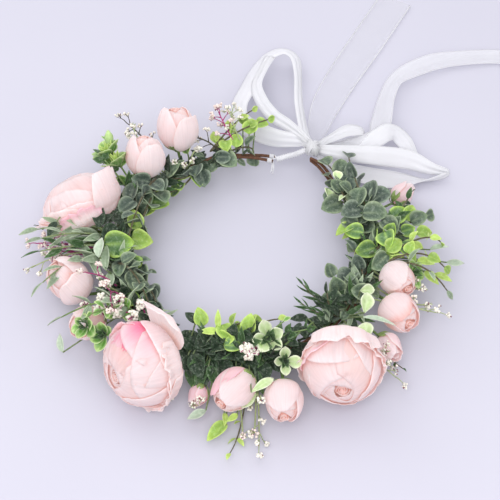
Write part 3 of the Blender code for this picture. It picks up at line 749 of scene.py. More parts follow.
def leafy_stem(shell, path, kind, rng, *, pairs, length, width, spread=55, stem=(0.12, 0.10, 0.05),
               curl=0.15,
               whorl=2):
    """A stem with leaves in pairs or whorls. A leaf that would run into a flower is turned, then left out."""
    n = len(path)
    ahead = tangents(path)
    shell.tube(path, np.linspace(STEM_RADIUS, STEM_RADIUS * 0.55, n), stem, sides=7)
    for i in range(pairs + 1):
        t = FIRST_LEAF + (1 - FIRST_LEAF) * i / pairs
        k = min(int(t * (n - 1)), n - 1)
        at, d = path[k], ahead[k]
        side = unit(np.cross(UP + 0.01, d))
        lift = np.cross(d, side)
        count = 1 if i == pairs else whorl
        for j in range(count):
            for tries in range(4):
                turn = 360 / whorl * j + TURN_PER_PAIR * i + rng.uniform(-14, 14) + TURN_PER_TRY * tries
                a = math.radians(turn)
                out = side * math.cos(a) + lift * math.sin(a)
                if i == pairs:
                    point = d
                else:
                    s = math.radians(spread + rng.uniform(-10, 10))
                    point = unit(d * math.cos(s) + out * math.sin(s))
                size = (1 - SMALLER_AT_TIP * t) * rng.uniform(0.86, 1.1)
                end = at + point * length * size
                if not near_head(at + point * length * size * 0.6) and not near_head(end):
                    break
            else:
                continue
            if (at + point * length * size)[2] < 0.8:
                continue
            face = unit(UP + 0.7 * out + rng.uniform(-0.75, 0.75, 3))
            face = unit(face - point * (face @ point))
            petiole = np.array([at, at + point * length * size * 0.12])
            shell.tube(petiole, 0.35, stem, sides=5)
            leaf(shell, petiole[1] - point * 0.3, point, face, length * size, width * size, kind, rng,
                 fold=0.42, curl=curl * rng.uniform(0.4, 1.6), twist=rng.uniform(-0.3, 0.3))


def popcorn(shell, centre, puff, count, size, colour, rng, specks=0.1):
    """A clump of tiny florets, some dark at the heart."""
    for _ in range(count):
        out = unit(rng.normal(0, 1, 3))
        at = centre + out * puff * rng.uniform(0.35, 1.0) ** 0.6
        if at[2] < 0.8:
            continue
        if rng.uniform() < specks:
            shell.bead(at, size * 0.6, BURGUNDY, rng)
        else:
            shell.bead(at, size * rng.uniform(0.75, 1.3), np.array(colour) * rng.uniform(0.86, 1.03), rng,
                       0.32)


FIRST_BRANCH = 0.3
BRANCH_SPREAD = 50
FORKS = 3


def spray(shell, path, rng, *, stem, bead, specks=0.1, branches=7, size=0.85, clump=9, reach=9.0, puff=1.3):
    """Thin branching stems that end in clumps of florets."""
    n = len(path)
    ahead = tangents(path)
    shell.tube(path, np.linspace(0.7, 0.4, n), stem, sides=6)
    for i in range(branches):
        t = FIRST_BRANCH + (1 - FIRST_BRANCH) * i / (branches - 1)
        k = min(int(t * (n - 1)), n - 1)
        side = unit(np.cross(UP + 0.01, ahead[k]))
        lift = np.cross(ahead[k], side)
        a = math.radians(137 * i + rng.uniform(-25, 25))
        s = math.radians(BRANCH_SPREAD) * (0 if i == branches - 1 else 1)
        point = unit(ahead[k] * math.cos(s) + (side * math.cos(a) + lift * math.sin(a)) * math.sin(s))
        long = reach * rng.uniform(0.7, 1.1) * (1 - 0.3 * t)
        end = path[k] + point * long
        if near_head(end, -1.0) or end[2] < 1.5:
            continue
        twig = bezier(path[k], (path[k] + end) / 2 + UP * 0.8, end, 6)
        shell.tube(twig, np.linspace(0.42, 0.28, 6), stem, sides=5)
        for _ in range(FORKS):
            lean = unit(point + rng.uniform(-0.75, 0.75, 3))
            tip = end + lean * rng.uniform(1.2, 2.6) * (1 + 0.5 * puff)
            shell.tube(np.array([end, (end + tip) / 2, tip]), 0.24, stem, sides=4)
            popcorn(shell, tip, puff, clump // FORKS + int(rng.integers(0, 2)), size, bead, rng, specks)


def rosette(shell, centre, axis, rng, *, pale=6, dark=7, length=11.0, width=4.2, kind="cream", heart="dark"):
    """Box leaves round a stem end: pale notched ones spread outside, dark narrow ones stand in the middle."""
    axis = unit(np.asarray(axis, float))
    side = unit(np.cross(axis, UP + 0.02))
    other = np.cross(axis, side)
    for count, lean, long, wide, tone, notch in ((pale, 66, length, width, kind, 0.14),
                                                 (dark, 34, length * 0.78, width * 0.40, heart, 0.0)):
        for i in range(count):
            a = 2 * math.pi * i / count + rng.uniform(-0.25, 0.25)
            s = math.radians(lean + rng.uniform(-14, 12))
            out = side * math.cos(a) + other * math.sin(a)
            point = axis * math.cos(s) + out * math.sin(s)
            size = rng.uniform(0.8, 1.08)
            if (centre + point * long * size)[2] < 1.0 or near_head(centre + point * long * size):
                continue
            face = unit(axis * math.sin(s) - out * math.cos(s))
            leaf(shell, centre, point, face, long * size, wide * size, tone, rng, fold=0.3, curl=-0.12,
                 notch=notch)


def set_leaves(shell, rng, kind, *rows, stem=(0.16, 0.22, 0.08)):
    """Single leaves: turn round the ring, out from it and above it, the tip's azimuth and lift, the leaf's length
    and half width."""
    for angle, out, above, azimuth, lift, length, width in rows:
        centre = polar(angle, RING + out, RING_HEIGHT + above)
        ahead = heading(azimuth, lift)
        start = centre - ahead * length / 2
        face = unit(UP + 0.2 * heading(292) + rng.uniform(-0.5, 0.5, 3))
        face = unit(face - ahead * (face @ ahead))
        leaf(shell, start, ahead, face, length, width, kind, rng, fold=0.46,
             curl=0.16 * rng.uniform(0.4, 1.6))
        foot = polar(angle_of(start), RING + np.clip(math.hypot(start[0], start[1]) - RING, -2.5, 2.5),
                     RING_HEIGHT + 1)
        if np.linalg.norm(start - foot) > 1.0:
            shell.tube(bezier(foot, (foot + start) / 2 + UP, start + ahead * 0.4, 8), 0.42, stem, sides=5)


def clumps(shell, rng, stem, bead, *rows, puff=3.7, count=56, size=1.1, specks=0.12, back=0):
    """Florets in tight clumps on short stems from the wires: turn round the ring, out from it, above it."""
    for angle, out, above in rows:
        centre = polar(angle, RING + out, RING_HEIGHT + above)
        foot = polar(angle + back + rng.uniform(-4, 4), RING + np.clip(out, -2.5, 2.5), RING_HEIGHT + 1.5)
        sag = -5.0 if out > 28 else 1.5
        mid = (foot + centre) / 2 + UP * sag + rng.uniform(-1.5, 1.5, 3)
        shell.tube(bezier(foot, mid, centre, 10), np.linspace(0.75, 0.5, 10), stem, sides=6)
        popcorn(shell, centre, puff * rng.uniform(0.85, 1.15), count, size, bead, rng, specks)
        for _ in range(3):
            lean = unit(rng.normal(0, 1, 3) + UP * 0.4)
            shell.tube(np.array([centre, centre + lean * puff * 0.8, centre + lean * puff * 1.5]), 0.3,
                       stem, sides=5)


def undergrowth(name, body, spans):
    """Short leaves all round the wires: start, end, how many, kind, length, half width, how far they stand out."""
    rng = rng_for(name)
    shell = Shell()
    for start, end, count, kind, length, width, stand in spans:
        for i in range(count):
            angle = start + (end - start) * (i + rng.uniform(0, 1)) / count
            way = rng.uniform(-0.6, 3.74)
            out = heading(angle) * math.cos(way) + UP * math.sin(way)
            along = heading(angle + (90 if rng.uniform() < 0.5 else -90))
            foot = polar(angle, RING, RING_HEIGHT) + out * 2.6
            size = rng.uniform(0.75, 1.2)
            ahead = unit(out * stand * rng.uniform(0.5, 1.2) + along * rng.uniform(0.3, 1.1) + UP * 0.1)
            tip = foot + ahead * length * size
            if tip[2] < 1.0 or near_head(tip) or near_head(foot + ahead * length * size * 0.6):
                continue
            face = unit(UP + 0.5 * out + rng.uniform(-0.4, 0.4, 3))
            face = unit(face - ahead * (face @ ahead))
            leaf(shell, foot, ahead, face, length * size, width * size, kind, rng,
                 curl=rng.uniform(-0.1, 0.35),
                 twist=rng.uniform(-0.4, 0.4), rows=8, cols=5)
    shell.make(name, body, LEAF, thick=UNDERGROWTH_THICK, slot="eucalyptus")


def shifted(line, foot=(0, 0, 0), mid=(0, 0, 0), tip=(0, 0, 0)):
    """A neighbour of a sprig's line: each point is turned, moved out and raised about the ring."""
    moved = []
    for p, (turn, out, rise) in zip(line, (foot, mid, tip)):
        a = angle_of(p) + turn
        moved.append(polar(a, math.hypot(p[0], p[1]) + out, p[2] + rise))
    return moved


POD_FOOT, POD_TIP = (0.10, 0.20, 0.05), (0.55, 0.75, 0.30)
CREAM, PINK_CREAM = (0.96, 0.92, 0.82), (0.96, 0.82, 0.76)
MAGENTA, DARK_TWIG, PALE_TWIG = (0.45, 0.03, 0.20), (0.06, 0.05, 0.03), (0.42, 0.50, 0.24)


def gum_sprig(name, body, kind, stems, slot="eucalyptus"):
    rng = rng_for(name)
    line = sprig_line(name)
    shell = Shell()
    for shift, options in stems:
        path = bezier(*shifted(line, *shift), 24)
        style = dict(options)
        leafy_stem(shell, path, style.pop("kind", kind), rng, **style)
    shell.make(name + "_leaves", body, LEAF, [name], thick=0.3, slot=slot)


def blossom_sprig(name, body, stems, slot="blossom"):
    rng = rng_for(name)
    line = sprig_line(name)
    shell = Shell()
    for shift, options in stems:
        path = bezier(*shifted(line, *shift), 20)
        style = dict(stem=MAGENTA, bead=PINK_CREAM)
        style.update(options)
        if "kind" in style:
            style.pop("stem"), style.pop("bead")
            leafy_stem(shell, path, style.pop("kind"), rng, **style)
        else:
            spray(shell, path, rng, **style)
    shell.make(name + "_blossoms", body, LEAF, [name], thick=0.0, slot=slot)


# ------------------------------------------------------------------ wires


def wire_path(name):
    """The middle line of a wire, from the rings of its CAD node, in order round the crown."""
    points = cad_points(name)
    angle = np.degrees(np.arctan2(points[:, 1], points[:, 0]))
    angle = np.where(angle < 85, angle + 360, angle) if "left" in name else np.where(angle < -95,
                                                                                     angle + 360, angle)
    if "left" in name:
        angle = np.where(angle > 300, angle - 360, angle)
    order = np.argsort(angle)
    points, angle = points[order], angle[order]
    cuts = np.where(np.diff(angle) > 1.6)[0] + 1
    return np.array([g.mean(0) for g in np.split(points, cuts)])


def wire(name, body):
    rng = rng_for(name)
    path = through(wire_path(name), 260)
    n, sides = len(path), 12
    run = np.concatenate([[0], np.cumsum(np.linalg.norm(np.diff(path, axis=0), axis=1))])[:, None]
    a = np.linspace(0, 2 * math.pi, sides, endpoint=False)[None, :]
    wrap = (run / 4.2 + a / (2 * math.pi)) % 1.0
    rough = wobble((n, sides), int(rng.integers(1e9)), 90.0)
    radius = 1.12 + 0.10 * smooth(wrap * 8) * (1 - wrap) + 0.05 * rough
    tone = (0.85 + 0.3 * wrap + 0.25 * rough)[..., None]
    colour = np.array((0.11, 0.052, 0.030)) * tone
    shell = Shell()
    shell.tube(path, radius, colour, sides=sides)
    shell.make(name + "_wrapped", body, PAPER, [name], slot="wire")


def tape(name, body):
    """Floral tape wound round the wires where stems join them."""
    rng = rng_for(name)
    points = cad_points(name)
    centre = points.mean(0)
    a = angle_of(centre)
    span = math.degrees(np.linalg.norm(points - centre, axis=1).max() / RING)
    at = np.linspace(a - span, a + span, 40)
    path = np.array([polar(x, RING, RING_HEIGHT) for x in at])
    sides = 16
    run = np.linspace(0, 4 * 2 * math.pi, 40)[:, None]
    b = np.linspace(0, 2 * math.pi, sides, endpoint=False)[None, :]
    wrap = ((run + b) / (2 * math.pi)) % 1.0
    radius = 3.5 + 0.5 * wrap + 0.25 * wobble((40, sides), int(rng.integers(1e9)), 60)
    shell = Shell()
    shell.tube(path, radius, np.array((0.055, 0.075, 0.035)) * (0.8 + 0.5 * wrap)[..., None], sides=sides)
    shell.make(name + "_wound", body, PAPER, [name], slot="tape")


def bound_stems(name, body, spans):
    """Stem ends that lie along the wires, winding round them: (start, end, how many, colour)."""
    rng = rng_for(name)
    shell = Shell()
    for start, end, count, colour in spans:
        for _ in range(count):
            a, b = start + rng.uniform(-3, 3), end + rng.uniform(-3, 3)
            phase, turns = rng.uniform(0, 6.3), rng.uniform(0.3, 1.2)
            steps = max(8, int(abs(b - a) / 2))
            t = np.linspace(0, 1, steps)
            lie = 2.9 + rng.uniform(0, 0.8)
            path = np.array([
                polar(a + (b - a) * x, RING + math.cos(phase + turns * 6.3 * x) * lie,
                      RING_HEIGHT + math.sin(phase + turns * 6.3 * x) * lie) for x in t
            ])
            shell.tube(path, 0.55 + 0.25 * rng.uniform(), np.array(colour) * rng.uniform(0.7, 1.3), sides=7)
    shell.make(name, body, LEAF, slot="calyx")


# ------------------------------------------------------------------ ribbon


def in_box(node, *fractions):
    low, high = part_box(node)
    low, high = np.array(low) / MM - CROWN, np.array(high) / MM - CROWN
    return low + (high - low) * np.array(fractions)


SATIN_WHITE = (0.84, 0.84, 0.86)


def ribbon(shell, places, widths, rng, *, count=64, cols=11, pleat=0.8, crown=0.6, colour=SATIN_WHITE,
           floor=0.5,
           wave=0.5):
    """A strip of ribbon. places are (point, facing); widths run along it; it pleats where it narrows."""
    path = through([p for p, _ in places], count)
    facing = through([f for _, f in places], count)
    width = np.interp(np.linspace(0, 1, count), np.linspace(0, 1, len(widths)), widths)
    width = np.convolve(np.pad(width, 4, "edge"), np.ones(9) / 9, "valid")
    ahead = tangents(path)
    across = np.cross(ahead, facing)
    across /= np.linalg.norm(across, axis=1)[:, None]
    normal = np.cross(across, ahead)
    u = np.linspace(-1, 1, cols)
    pinch = 1 - smooth((width - 5) / 14.0)
    phase = rng.uniform(0, 6.3)
    bend = (pleat * pinch[:, None] * np.cos(2.5 * math.pi * u[None, :] + phase)
            + crown * (1 - u[None, :] ** 2) + wave * wobble((count, cols), int(rng.integers(1e9)), 8.0))
    points = (path[:, None] + across[:, None] * (width[:, None] / 2 * u[None, :])[..., None]
              + normal[:, None] * bend[..., None])
    points[..., 2] = np.maximum(points[..., 2], floor)
    shell.grid(points, colour)


# ------------------------------------------------------------------ the crown


def build_flowers():
    fluffy = dict(rim=RUFFLE_PINK, body=(0.92, 0.87, 0.88), deep=BLUSH, waves=5.0, notch=0.05)
    pale = dict(body=WHITE_PINK, deep=BLUSH, rim=RUFFLE_PINK)
    tipped = dict(fluffy, rim=(0.92, 0.60, 0.71))
    rose("rose_left", "left_half", [
        (122, 40, 1.16, 0.84, 0.3, 0.3, dict(pale, body=BLUSH, point=0.24, corner=0.66, lean=1.02)),
        (162, 34, 1.12, 0.80, 1.2, 0.8, dict(pale, corner=0.5, point=0.1)),
        (15, 54, 1.06, 0.62, 2.0, 1.4, fluffy),
        (60, 36, 1.05, 0.46, 2.5, 1.6, tipped),
        (-30, 45, 1.08, 0.58, 4.0, 1.4, fluffy),
        (250, 60, 1.05, 0.60, 3.0, 1.2, fluffy),
    ], turn=35, warm=0.5, nudge=heading(292) * 5 - UP * 2.5)
    rose("rose_front_left", "left_half", [
        (100, 46, 1.44, 0.38, 1.6, 2.6, dict(fluffy, waves=2.2, corner=0.66, narrow=0.5)),
        (30, 42, 1.06, 0.60, 2.5, 1.4, fluffy),
        (-20, 42, 1.05, 0.55, 2.5, 1.4, fluffy),
        (-70, 42, 1.05, 0.55, 2.5, 1.4, fluffy),
        (160, 46, 1.02, 0.62, 2.0, 1.0, dict(fluffy, rim=ROSY_RIM)),
    ], turn=-15, warm=0.8, stain=(112, 34, (0.92, 0.22, 0.42)), corner=0.3, swell=(0.94, 1.10))
    rose("rose_front_right", "right_half", [
        (84, 50, 1.20, 0.70, 2.6, 2.6, dict(fluffy, notch=0.2, waves=4.0)),
        (30, 44, 1.06, 0.66, 2.0, 1.2, fluffy),
        (-15, 42, 1.04, 0.58, 2.0, 1.0, fluffy),
        (150, 44, 1.02, 0.66, 1.2, 0.6, dict(rim=ROSY_RIM)),
    ], turn=10, warm=1.0, eye=0.17, swell=(0.88, 1.10))
    bud("bud_left_back_a", "left_half", turn=10, rim=0.3, extras=[
        (30, 62, 0.5, 1.04, 0.8, dict(body=BLUSH, corner=0.45)),
        (132, 56, 0.74, 0.98, 2.6, dict(pale, corner=0.56, lift=2.4))])
    bud("bud_left_back_b", "left_half", turn=50, rim=0.3, extras=[
        (20, 66, 0.45, 1.0, 0.6, {}), (116, 54, 0.74, 0.94, 2.4, dict(pale, corner=0.56, lift=2.4))])
    bud("bud_left_front_a", "left_half", turn=-30, rim=0.22, extras=[
        (130, 70, 0.3, 0.99, 0.3, {}), (42, 58, 0.72, 0.9, 2.4, dict(pale, lift=2.4))], swell=(0.86, 0.9))
    bud("bud_left_front_b", "left_half", turn=0, tint=0.1)
    bud("bud_front_a", "right_half", turn=65, extras=[
        (150, 60, 0.5, 0.96, 0.8, dict(rim=(0.92, 0.66, 0.76), body=(0.91, 0.70, 0.75))),
        (62, 70, 0.5, 0.99, 0.6, {})], swell=(0.80, 0.86))
    bud("bud_front_b", "right_half", turn=20, extras=[(100, 60, 0.5, 0.97, 0.8, {})])
    bud("bud_right_a", "right_half", turn=80, tint=0.1, extras=[(125, 74, 0.5, 0.96, 0.6, pale)])
    bud("bud_right_b", "right_half", turn=30, tint=0.15, extras=[
        (110, 70, 0.5, 0.95, 0.8, dict(rim=(0.92, 0.60, 0.54)))])
    small_bud("bud_right_c", "right_half", 8.5, 0.1)
    small_bud("bud_small_front", "right_half", 6.2, 0.25)
    small_bud("bud_small_back", "right_half", 7.5, 0.08)


def build_greenery():
    none = ((0, 0, 0), (0, 0, 0), (0, 0, 0))
    left, right = "left_half", "right_half"
    gum_sprig("eucalyptus_left_end", left, "gum_young", [
        (none, dict(pairs=3, length=11, width=5)),
        (((2, -6, -4), (-2, -10, -6), (4, -24, -12)), dict(kind="gum", pairs=2, length=14, width=7)),
        (((0, 0, 0), (2, 6, 0), (6, 6, 2)), dict(kind="lime", pairs=3, length=10, width=3.8)),
    ])
    gum_sprig("eucalyptus_left_back", left, "grey", [
        (none, dict(pairs=2, length=15, width=7)),
        (((3, 0, -2), (5, -3, -3), (8, -5, -4)), dict(kind="gum_turning", pairs=2, length=13, width=6)),
    ])
    gum_sprig("eucalyptus_left_mid", left, "gum", [
        (none, dict(pairs=3, length=16, width=7.5)),
        (((-2, 4, 3), (-1, 4, 8), (2, 4, 6)), dict(kind="grey", pairs=3, length=14, width=6)),
    ])
    gum_sprig("eucalyptus_left_lower", left, "grey", [
        (none, dict(pairs=3, length=16, width=7.5)),
        (((0, 5, 3), (0, 6, 8), (3, 8, 6)), dict(kind="gum", pairs=3, length=13, width=6)),
    ])
    box = dict(pairs=3, length=11, width=3.6, whorl=3, spread=52, stem=(0.16, 0.26, 0.07))
    gum_sprig("boxwood_left_back", left, "box", [
        (none, box),
        (((3, 0, 0), (5, -2, 4), (7, -8, 6)), dict(box, kind="fern")),
    ], "boxwood")
    gum_sprig("boxwood_left_front", left, "box", [
        (none, box),
        (((0, 0, 0), (-4, 0, 0), (-8, 14, -14)), dict(box, kind="willow", length=16)),
    ], "boxwood")
    blossom_sprig("spray_left_back", left, [
        (none, dict(branches=8, clump=15)),
        (((-3, 0, 0), (-3, 2, 2), (-5, 0, 2)), dict(branches=7, bead=CREAM, stem=PALE_TWIG)),
        (((8, -3, 0), (10, -8, -2), (14, -14, -4)), dict(branches=8, bead=CREAM, stem=DARK_TWIG)),
    ])
    blossom_sprig("spray_left_outer", left,
                  [(none, dict(branches=8, bead=CREAM, stem=DARK_TWIG, specks=0.3))])
    blossom_sprig("spray_left_front", left, [
        (none, dict(branches=3, clump=18, puff=1.6, size=0.9, reach=6.0)),
        (((6, 0, 0), (9, 0, 2), (16, -4, 0)), dict(branches=4, clump=24, puff=2.0, size=0.95)),
    ])
    blossom_sprig("spray_left_low", left, [
        (none, dict(branches=9, clump=15, puff=1.6)),
        (((0, 0, 0), (-3, 0, 4), (-5, 2, 4)), dict(kind="fern", pairs=14, length=4.5, width=1.5, spread=60)),
        (((2, 0, 0), (5, 0, 3), (9, 2, 2)), dict(branches=7, bead=CREAM, stem=PALE_TWIG)),
    ])
    long_leaf = dict(pairs=3, length=20, width=3.3, spread=28, stem=(0.25, 0.32, 0.14), curl=0.1)
    gum_sprig("willow_left", left, "willow", [
        (none, long_leaf), (((-4, 0, 0), (-5, 2, -4), (-6, 4, -8)), long_leaf),
        (((4, -2, -2), (4, 0, -4), (2, 2, -8)), dict(long_leaf, kind="fern")),
        (((12, 0, 0), (12, 2, 0), (14, 4, -4)), dict(long_leaf, pairs=3, length=22)),
        (((-16, 0, -2), (-14, 0, 2), (-8, -8, -4)), dict(long_leaf, kind="dark", pairs=2, width=5)),
    ], "willow")
    gum_sprig("eucalyptus_front", right, "gum_young", [
        (none, dict(pairs=2, length=12, width=5.5)),
        (((6, 0, -2), (10, -2, -2), (14, 2, 0)), dict(kind="lime", pairs=2, length=12, width=4.5)),
        (((4, 6, -4), (6, 6, -2), (4, 10, -4)), dict(kind="dark", pairs=5, length=15, width=6)),
        (((8, 8, -2), (10, 12, 0), (6, 22, -10)), dict(kind="fern", pairs=5, length=14, width=3)),
    ])
    gum_sprig("boxwood_front", right, "box", [
        (none, dict(box, pairs=1)), (((3, 0, 0), (4, 2, -2), (8, 10, -2)), dict(box, kind="fern")),
        (((6, 2, -3), (10, 4, -4), (14, 4, -8)), dict(box, kind="dark", width=5)),
    ], "boxwood")
    blossom_sprig("spray_front", right, [
        (none, dict(branches=8, bead=CREAM, stem=PALE_TWIG, clump=12)),
        (((-3, 0, -2), (-5, 4, -4), (-7, 4, 0)), dict(kind="lime", pairs=4, length=9, width=2.5)),
    ])
    gum_sprig("eucalyptus_right_back", right, "gum", [
        (none, dict(pairs=3, length=17, width=8)),
        (((-4, 4, 0), (0, 8, 2), (-4, 14, 2)), dict(kind="grey", pairs=2, length=16, width=7.5)),
        (((-8, -4, 0), (-4, -6, 2), (-4, -8, 0)), dict(kind="gum", pairs=2, length=13, width=5.5)),
    ])
    gum_sprig("eucalyptus_right_outer", right, "gum", [
        (none, dict(pairs=3, length=16, width=7.5)),
        (((-2, -4, 2), (-4, -6, 4), (-8, -16, 6)), dict(kind="gum_turning", pairs=3, length=15, width=7)),
        (((2, 0, 0), (5, 0, 4), (8, -4, 6)), dict(kind="fern", pairs=5, length=12, width=2.6)),
    ])
    gum_sprig("eucalyptus_right_inner", right, "gum", [
        (none, dict(pairs=2, length=17, width=8)),
        (((-8, 2, 0), (-12, 4, 4), (-14, 6, 6)), dict(kind="dark", pairs=4, length=15, width=3)),
        (((8, 4, 2), (14, 8, 4), (20, 8, 2)), dict(kind="grey", pairs=2, length=16, width=7)),
        (((-6, 4, -2), (-16, 0, 0), (-24, -4, -4)),
         dict(kind="fern", pairs=6, length=13, width=1.2, spread=25)),
        (((-4, 2, -2), (-10, -6, 0), (-14, -14, -2)),
         dict(kind="fern", pairs=6, length=13, width=1.2, spread=25)),
    ])
    gum_sprig("eucalyptus_right_tip", right, "gum_young", [
        (none, dict(pairs=3, length=12, width=4.8)),
        (((4, 0, 0), (6, 2, 0), (9, -2, 0)), dict(kind="lime", pairs=3, length=12, width=4)),
        (((0, 0, 0), (-3, 2, -4), (-6, 4, -6)), dict(kind="willow", pairs=3, length=15, width=3)),
    ])
    blossom_sprig("spray_right", right, [
        (none, dict(branches=8, bead=CREAM, stem=PALE_TWIG, specks=0.3)),
        (((16, 0, 2), (20, 2, 6), (22, 0, 10)), dict(branches=8, specks=0.3, bead=CREAM, stem=PALE_TWIG)),
        (((0, 0, 0), (2, 0, 2), (3, 0, 2)), dict(kind="fern", pairs=12, length=5, width=1.6, spread=60)),
    ])
    build_left_leaves()
    build_right_leaves()


def build_left_leaves():
    rng = rng_for("leaves_left")
    shell = Shell()
    set_leaves(shell, rng, "gum_turning", (167, -13, 1, 10, 10, 17, 8), (205, -2, 13, 20, 10, 21, 9.5),
               (214, -13, 7, 60, 10, 10, 5), (234, 1, 7, 20, 5, 13, 6), (137, 9, 9, 120, 20, 9, 4))
    set_leaves(shell, rng, "gum_young", (174, -10, -1, 30, 5, 12, 5.5), (188, -10, 11, 130, 35, 15, 6),
               (199, -17, 7, 0, 10, 16, 7.5), (115, 8, 9, 110, 20, 12, 5), (109, 21, 10, 100, 25, 13, 6),
               (105, 27, 7, 20, 10, 10, 5), (112, 29, 9, 110, 30, 9, 4), (120, 3, 9, 300, 0, 10, 5))
    set_leaves(shell, rng, "grey", (218, -4, 7, 300, 0, 19, 9), (235, -14, 3, 110, 20, 10, 5),
               (238, -11, -1, 330, 0, 10, 5), (173, 2, 13, 110, 10, 17, 7), (182, -1, 13, 250, 10, 15, 6.5),
               (187, 5, 9, 240, -10, 14, 6), (138, -11, 7, 110, 0, 14, 6), (122, -4, 5, 20, 0, 12, 5),
               (159, -6, 5, 300, 0, 13, 6))
    set_leaves(shell, rng, "gum", (223, -13, 5, 290, 0, 20, 7), (217, -23, -3, 10, 0, 6, 2),
               (171, -7, 9, 330, 0, 13, 6), (242, -6, 3, 200, 0, 12, 5), (228, -8, 9, 340, 0, 14, 6))
    set_leaves(shell, rng, "haze", (201, 34, 9, 20, 0, 16, 3), (233, 55, -7, 130, 10, 15, 3),
               (208, 11, 17, 112, 10, 17, 4), (202, 24, 12, 30, 0, 20, 3))
    # painted shade: near-black dark leaves where shadow lies among the left leaves
    set_leaves(shell, rng, "dark", (194, 13, 23, 118, 25, 20, 4.5), (195, 9, 19, 60, 20, 15, 4),
               (199, 5, 15, 250, 0, 14, 5), (190, 4, 14, 150, 10, 18, 5), (180, 6, 10, 160, 0, 16, 5),
               (264, -14, 11, 150, 10, 11, 4))
    set_leaves(shell, rng, "willow", (212, 8, 15, 120, 5, 24, 3.6), (216, 16, 14, 130, 0, 24, 3.4),
               (208, 20, 12, 140, 5, 22, 3.2), (222, 8, 12, 110, 0, 20, 3.2))
    for angle, out, above in ((164, 34, 15), (166, 22, 15)):
        rosette(shell, polar(angle, RING + out, RING_HEIGHT + above), heading(150, 50), rng, kind="box",
                heart="lime", length=15, width=5.4)
    pod = bezier(polar(164, RING + 32, RING_HEIGHT + 14), polar(161, RING + 40, RING_HEIGHT + 17),
                 polar(159, RING + 46, RING_HEIGHT + 24), 12)
    width = np.interp(np.linspace(0, 1, 12), [0, 0.3, 0.55, 0.8, 1], [0.7, 0.8, 2.6, 3.3, 0.7])
    shell.tube(pod, width, mix(POD_FOOT, POD_TIP, np.linspace(0, 1, 12)), sides=12)
    for angle, out, above in ((237, 38, 11), (243, 32, 9)):
        rosette(shell, polar(angle, RING + out, RING_HEIGHT + above), heading(250, 50), rng, kind="box",
                heart="fern", length=12)
    shell.make("leaves_left", "left_half", LEAF, thick=LEAF_THICK, slot="eucalyptus")
    shell = Shell()
    clumps(shell, rng, MAGENTA, CREAM, (233, 21, 19), (235, 26, 16), (237, 13, 19), (240, 18, 16),
           (245, 12, 16),
           (242, 1, 14), (231, 32, 14), specks=0.16)
    clumps(shell, rng, MAGENTA, PINK_CREAM, (202, 50, 6), (204, 45, 7), (206, 40, 7), (207, 44, 5),
           (203, 37, 7),
           puff=2.2, count=20, size=0.8, specks=0.25)
    clumps(shell, rng, PALE_TWIG, CREAM, (221, 15, 15), (227, 12, 15), (146, 1, 9), (143, -5, 9),
           (138, -4, 9),
           (133, 5, 9), (150, 44, 15), (153, 39, 14), puff=2.2, count=18, size=0.85)
    clumps(shell, rng, PALE_TWIG, CREAM, (269, 43, -7), (270, 38, -6), puff=2.6, count=20, size=0.8,
           specks=0.3,
           back=-14)
    shell.make("florets_left", "left_half", LEAF, slot="blossom")
    # painted shade: the dark spans fill the gaps under the leaves with near-black leaves that stand for shadow
    undergrowth("undergrowth_left", "left_half", [
        (112, 150, 20, "dark", 10, 2.6, 0.8), (112, 150, 12, "gum", 9, 3.2, 1.0),
        (150, 258, 64, "dark", 15, 3.4, 1.1), (150, 258, 32, "fern", 16, 2.4, 1.3),
        (195, 258, 26, "willow", 18, 2.4, 1.4), (150, 258, 14, "gum", 14, 5.5, 1.0)])


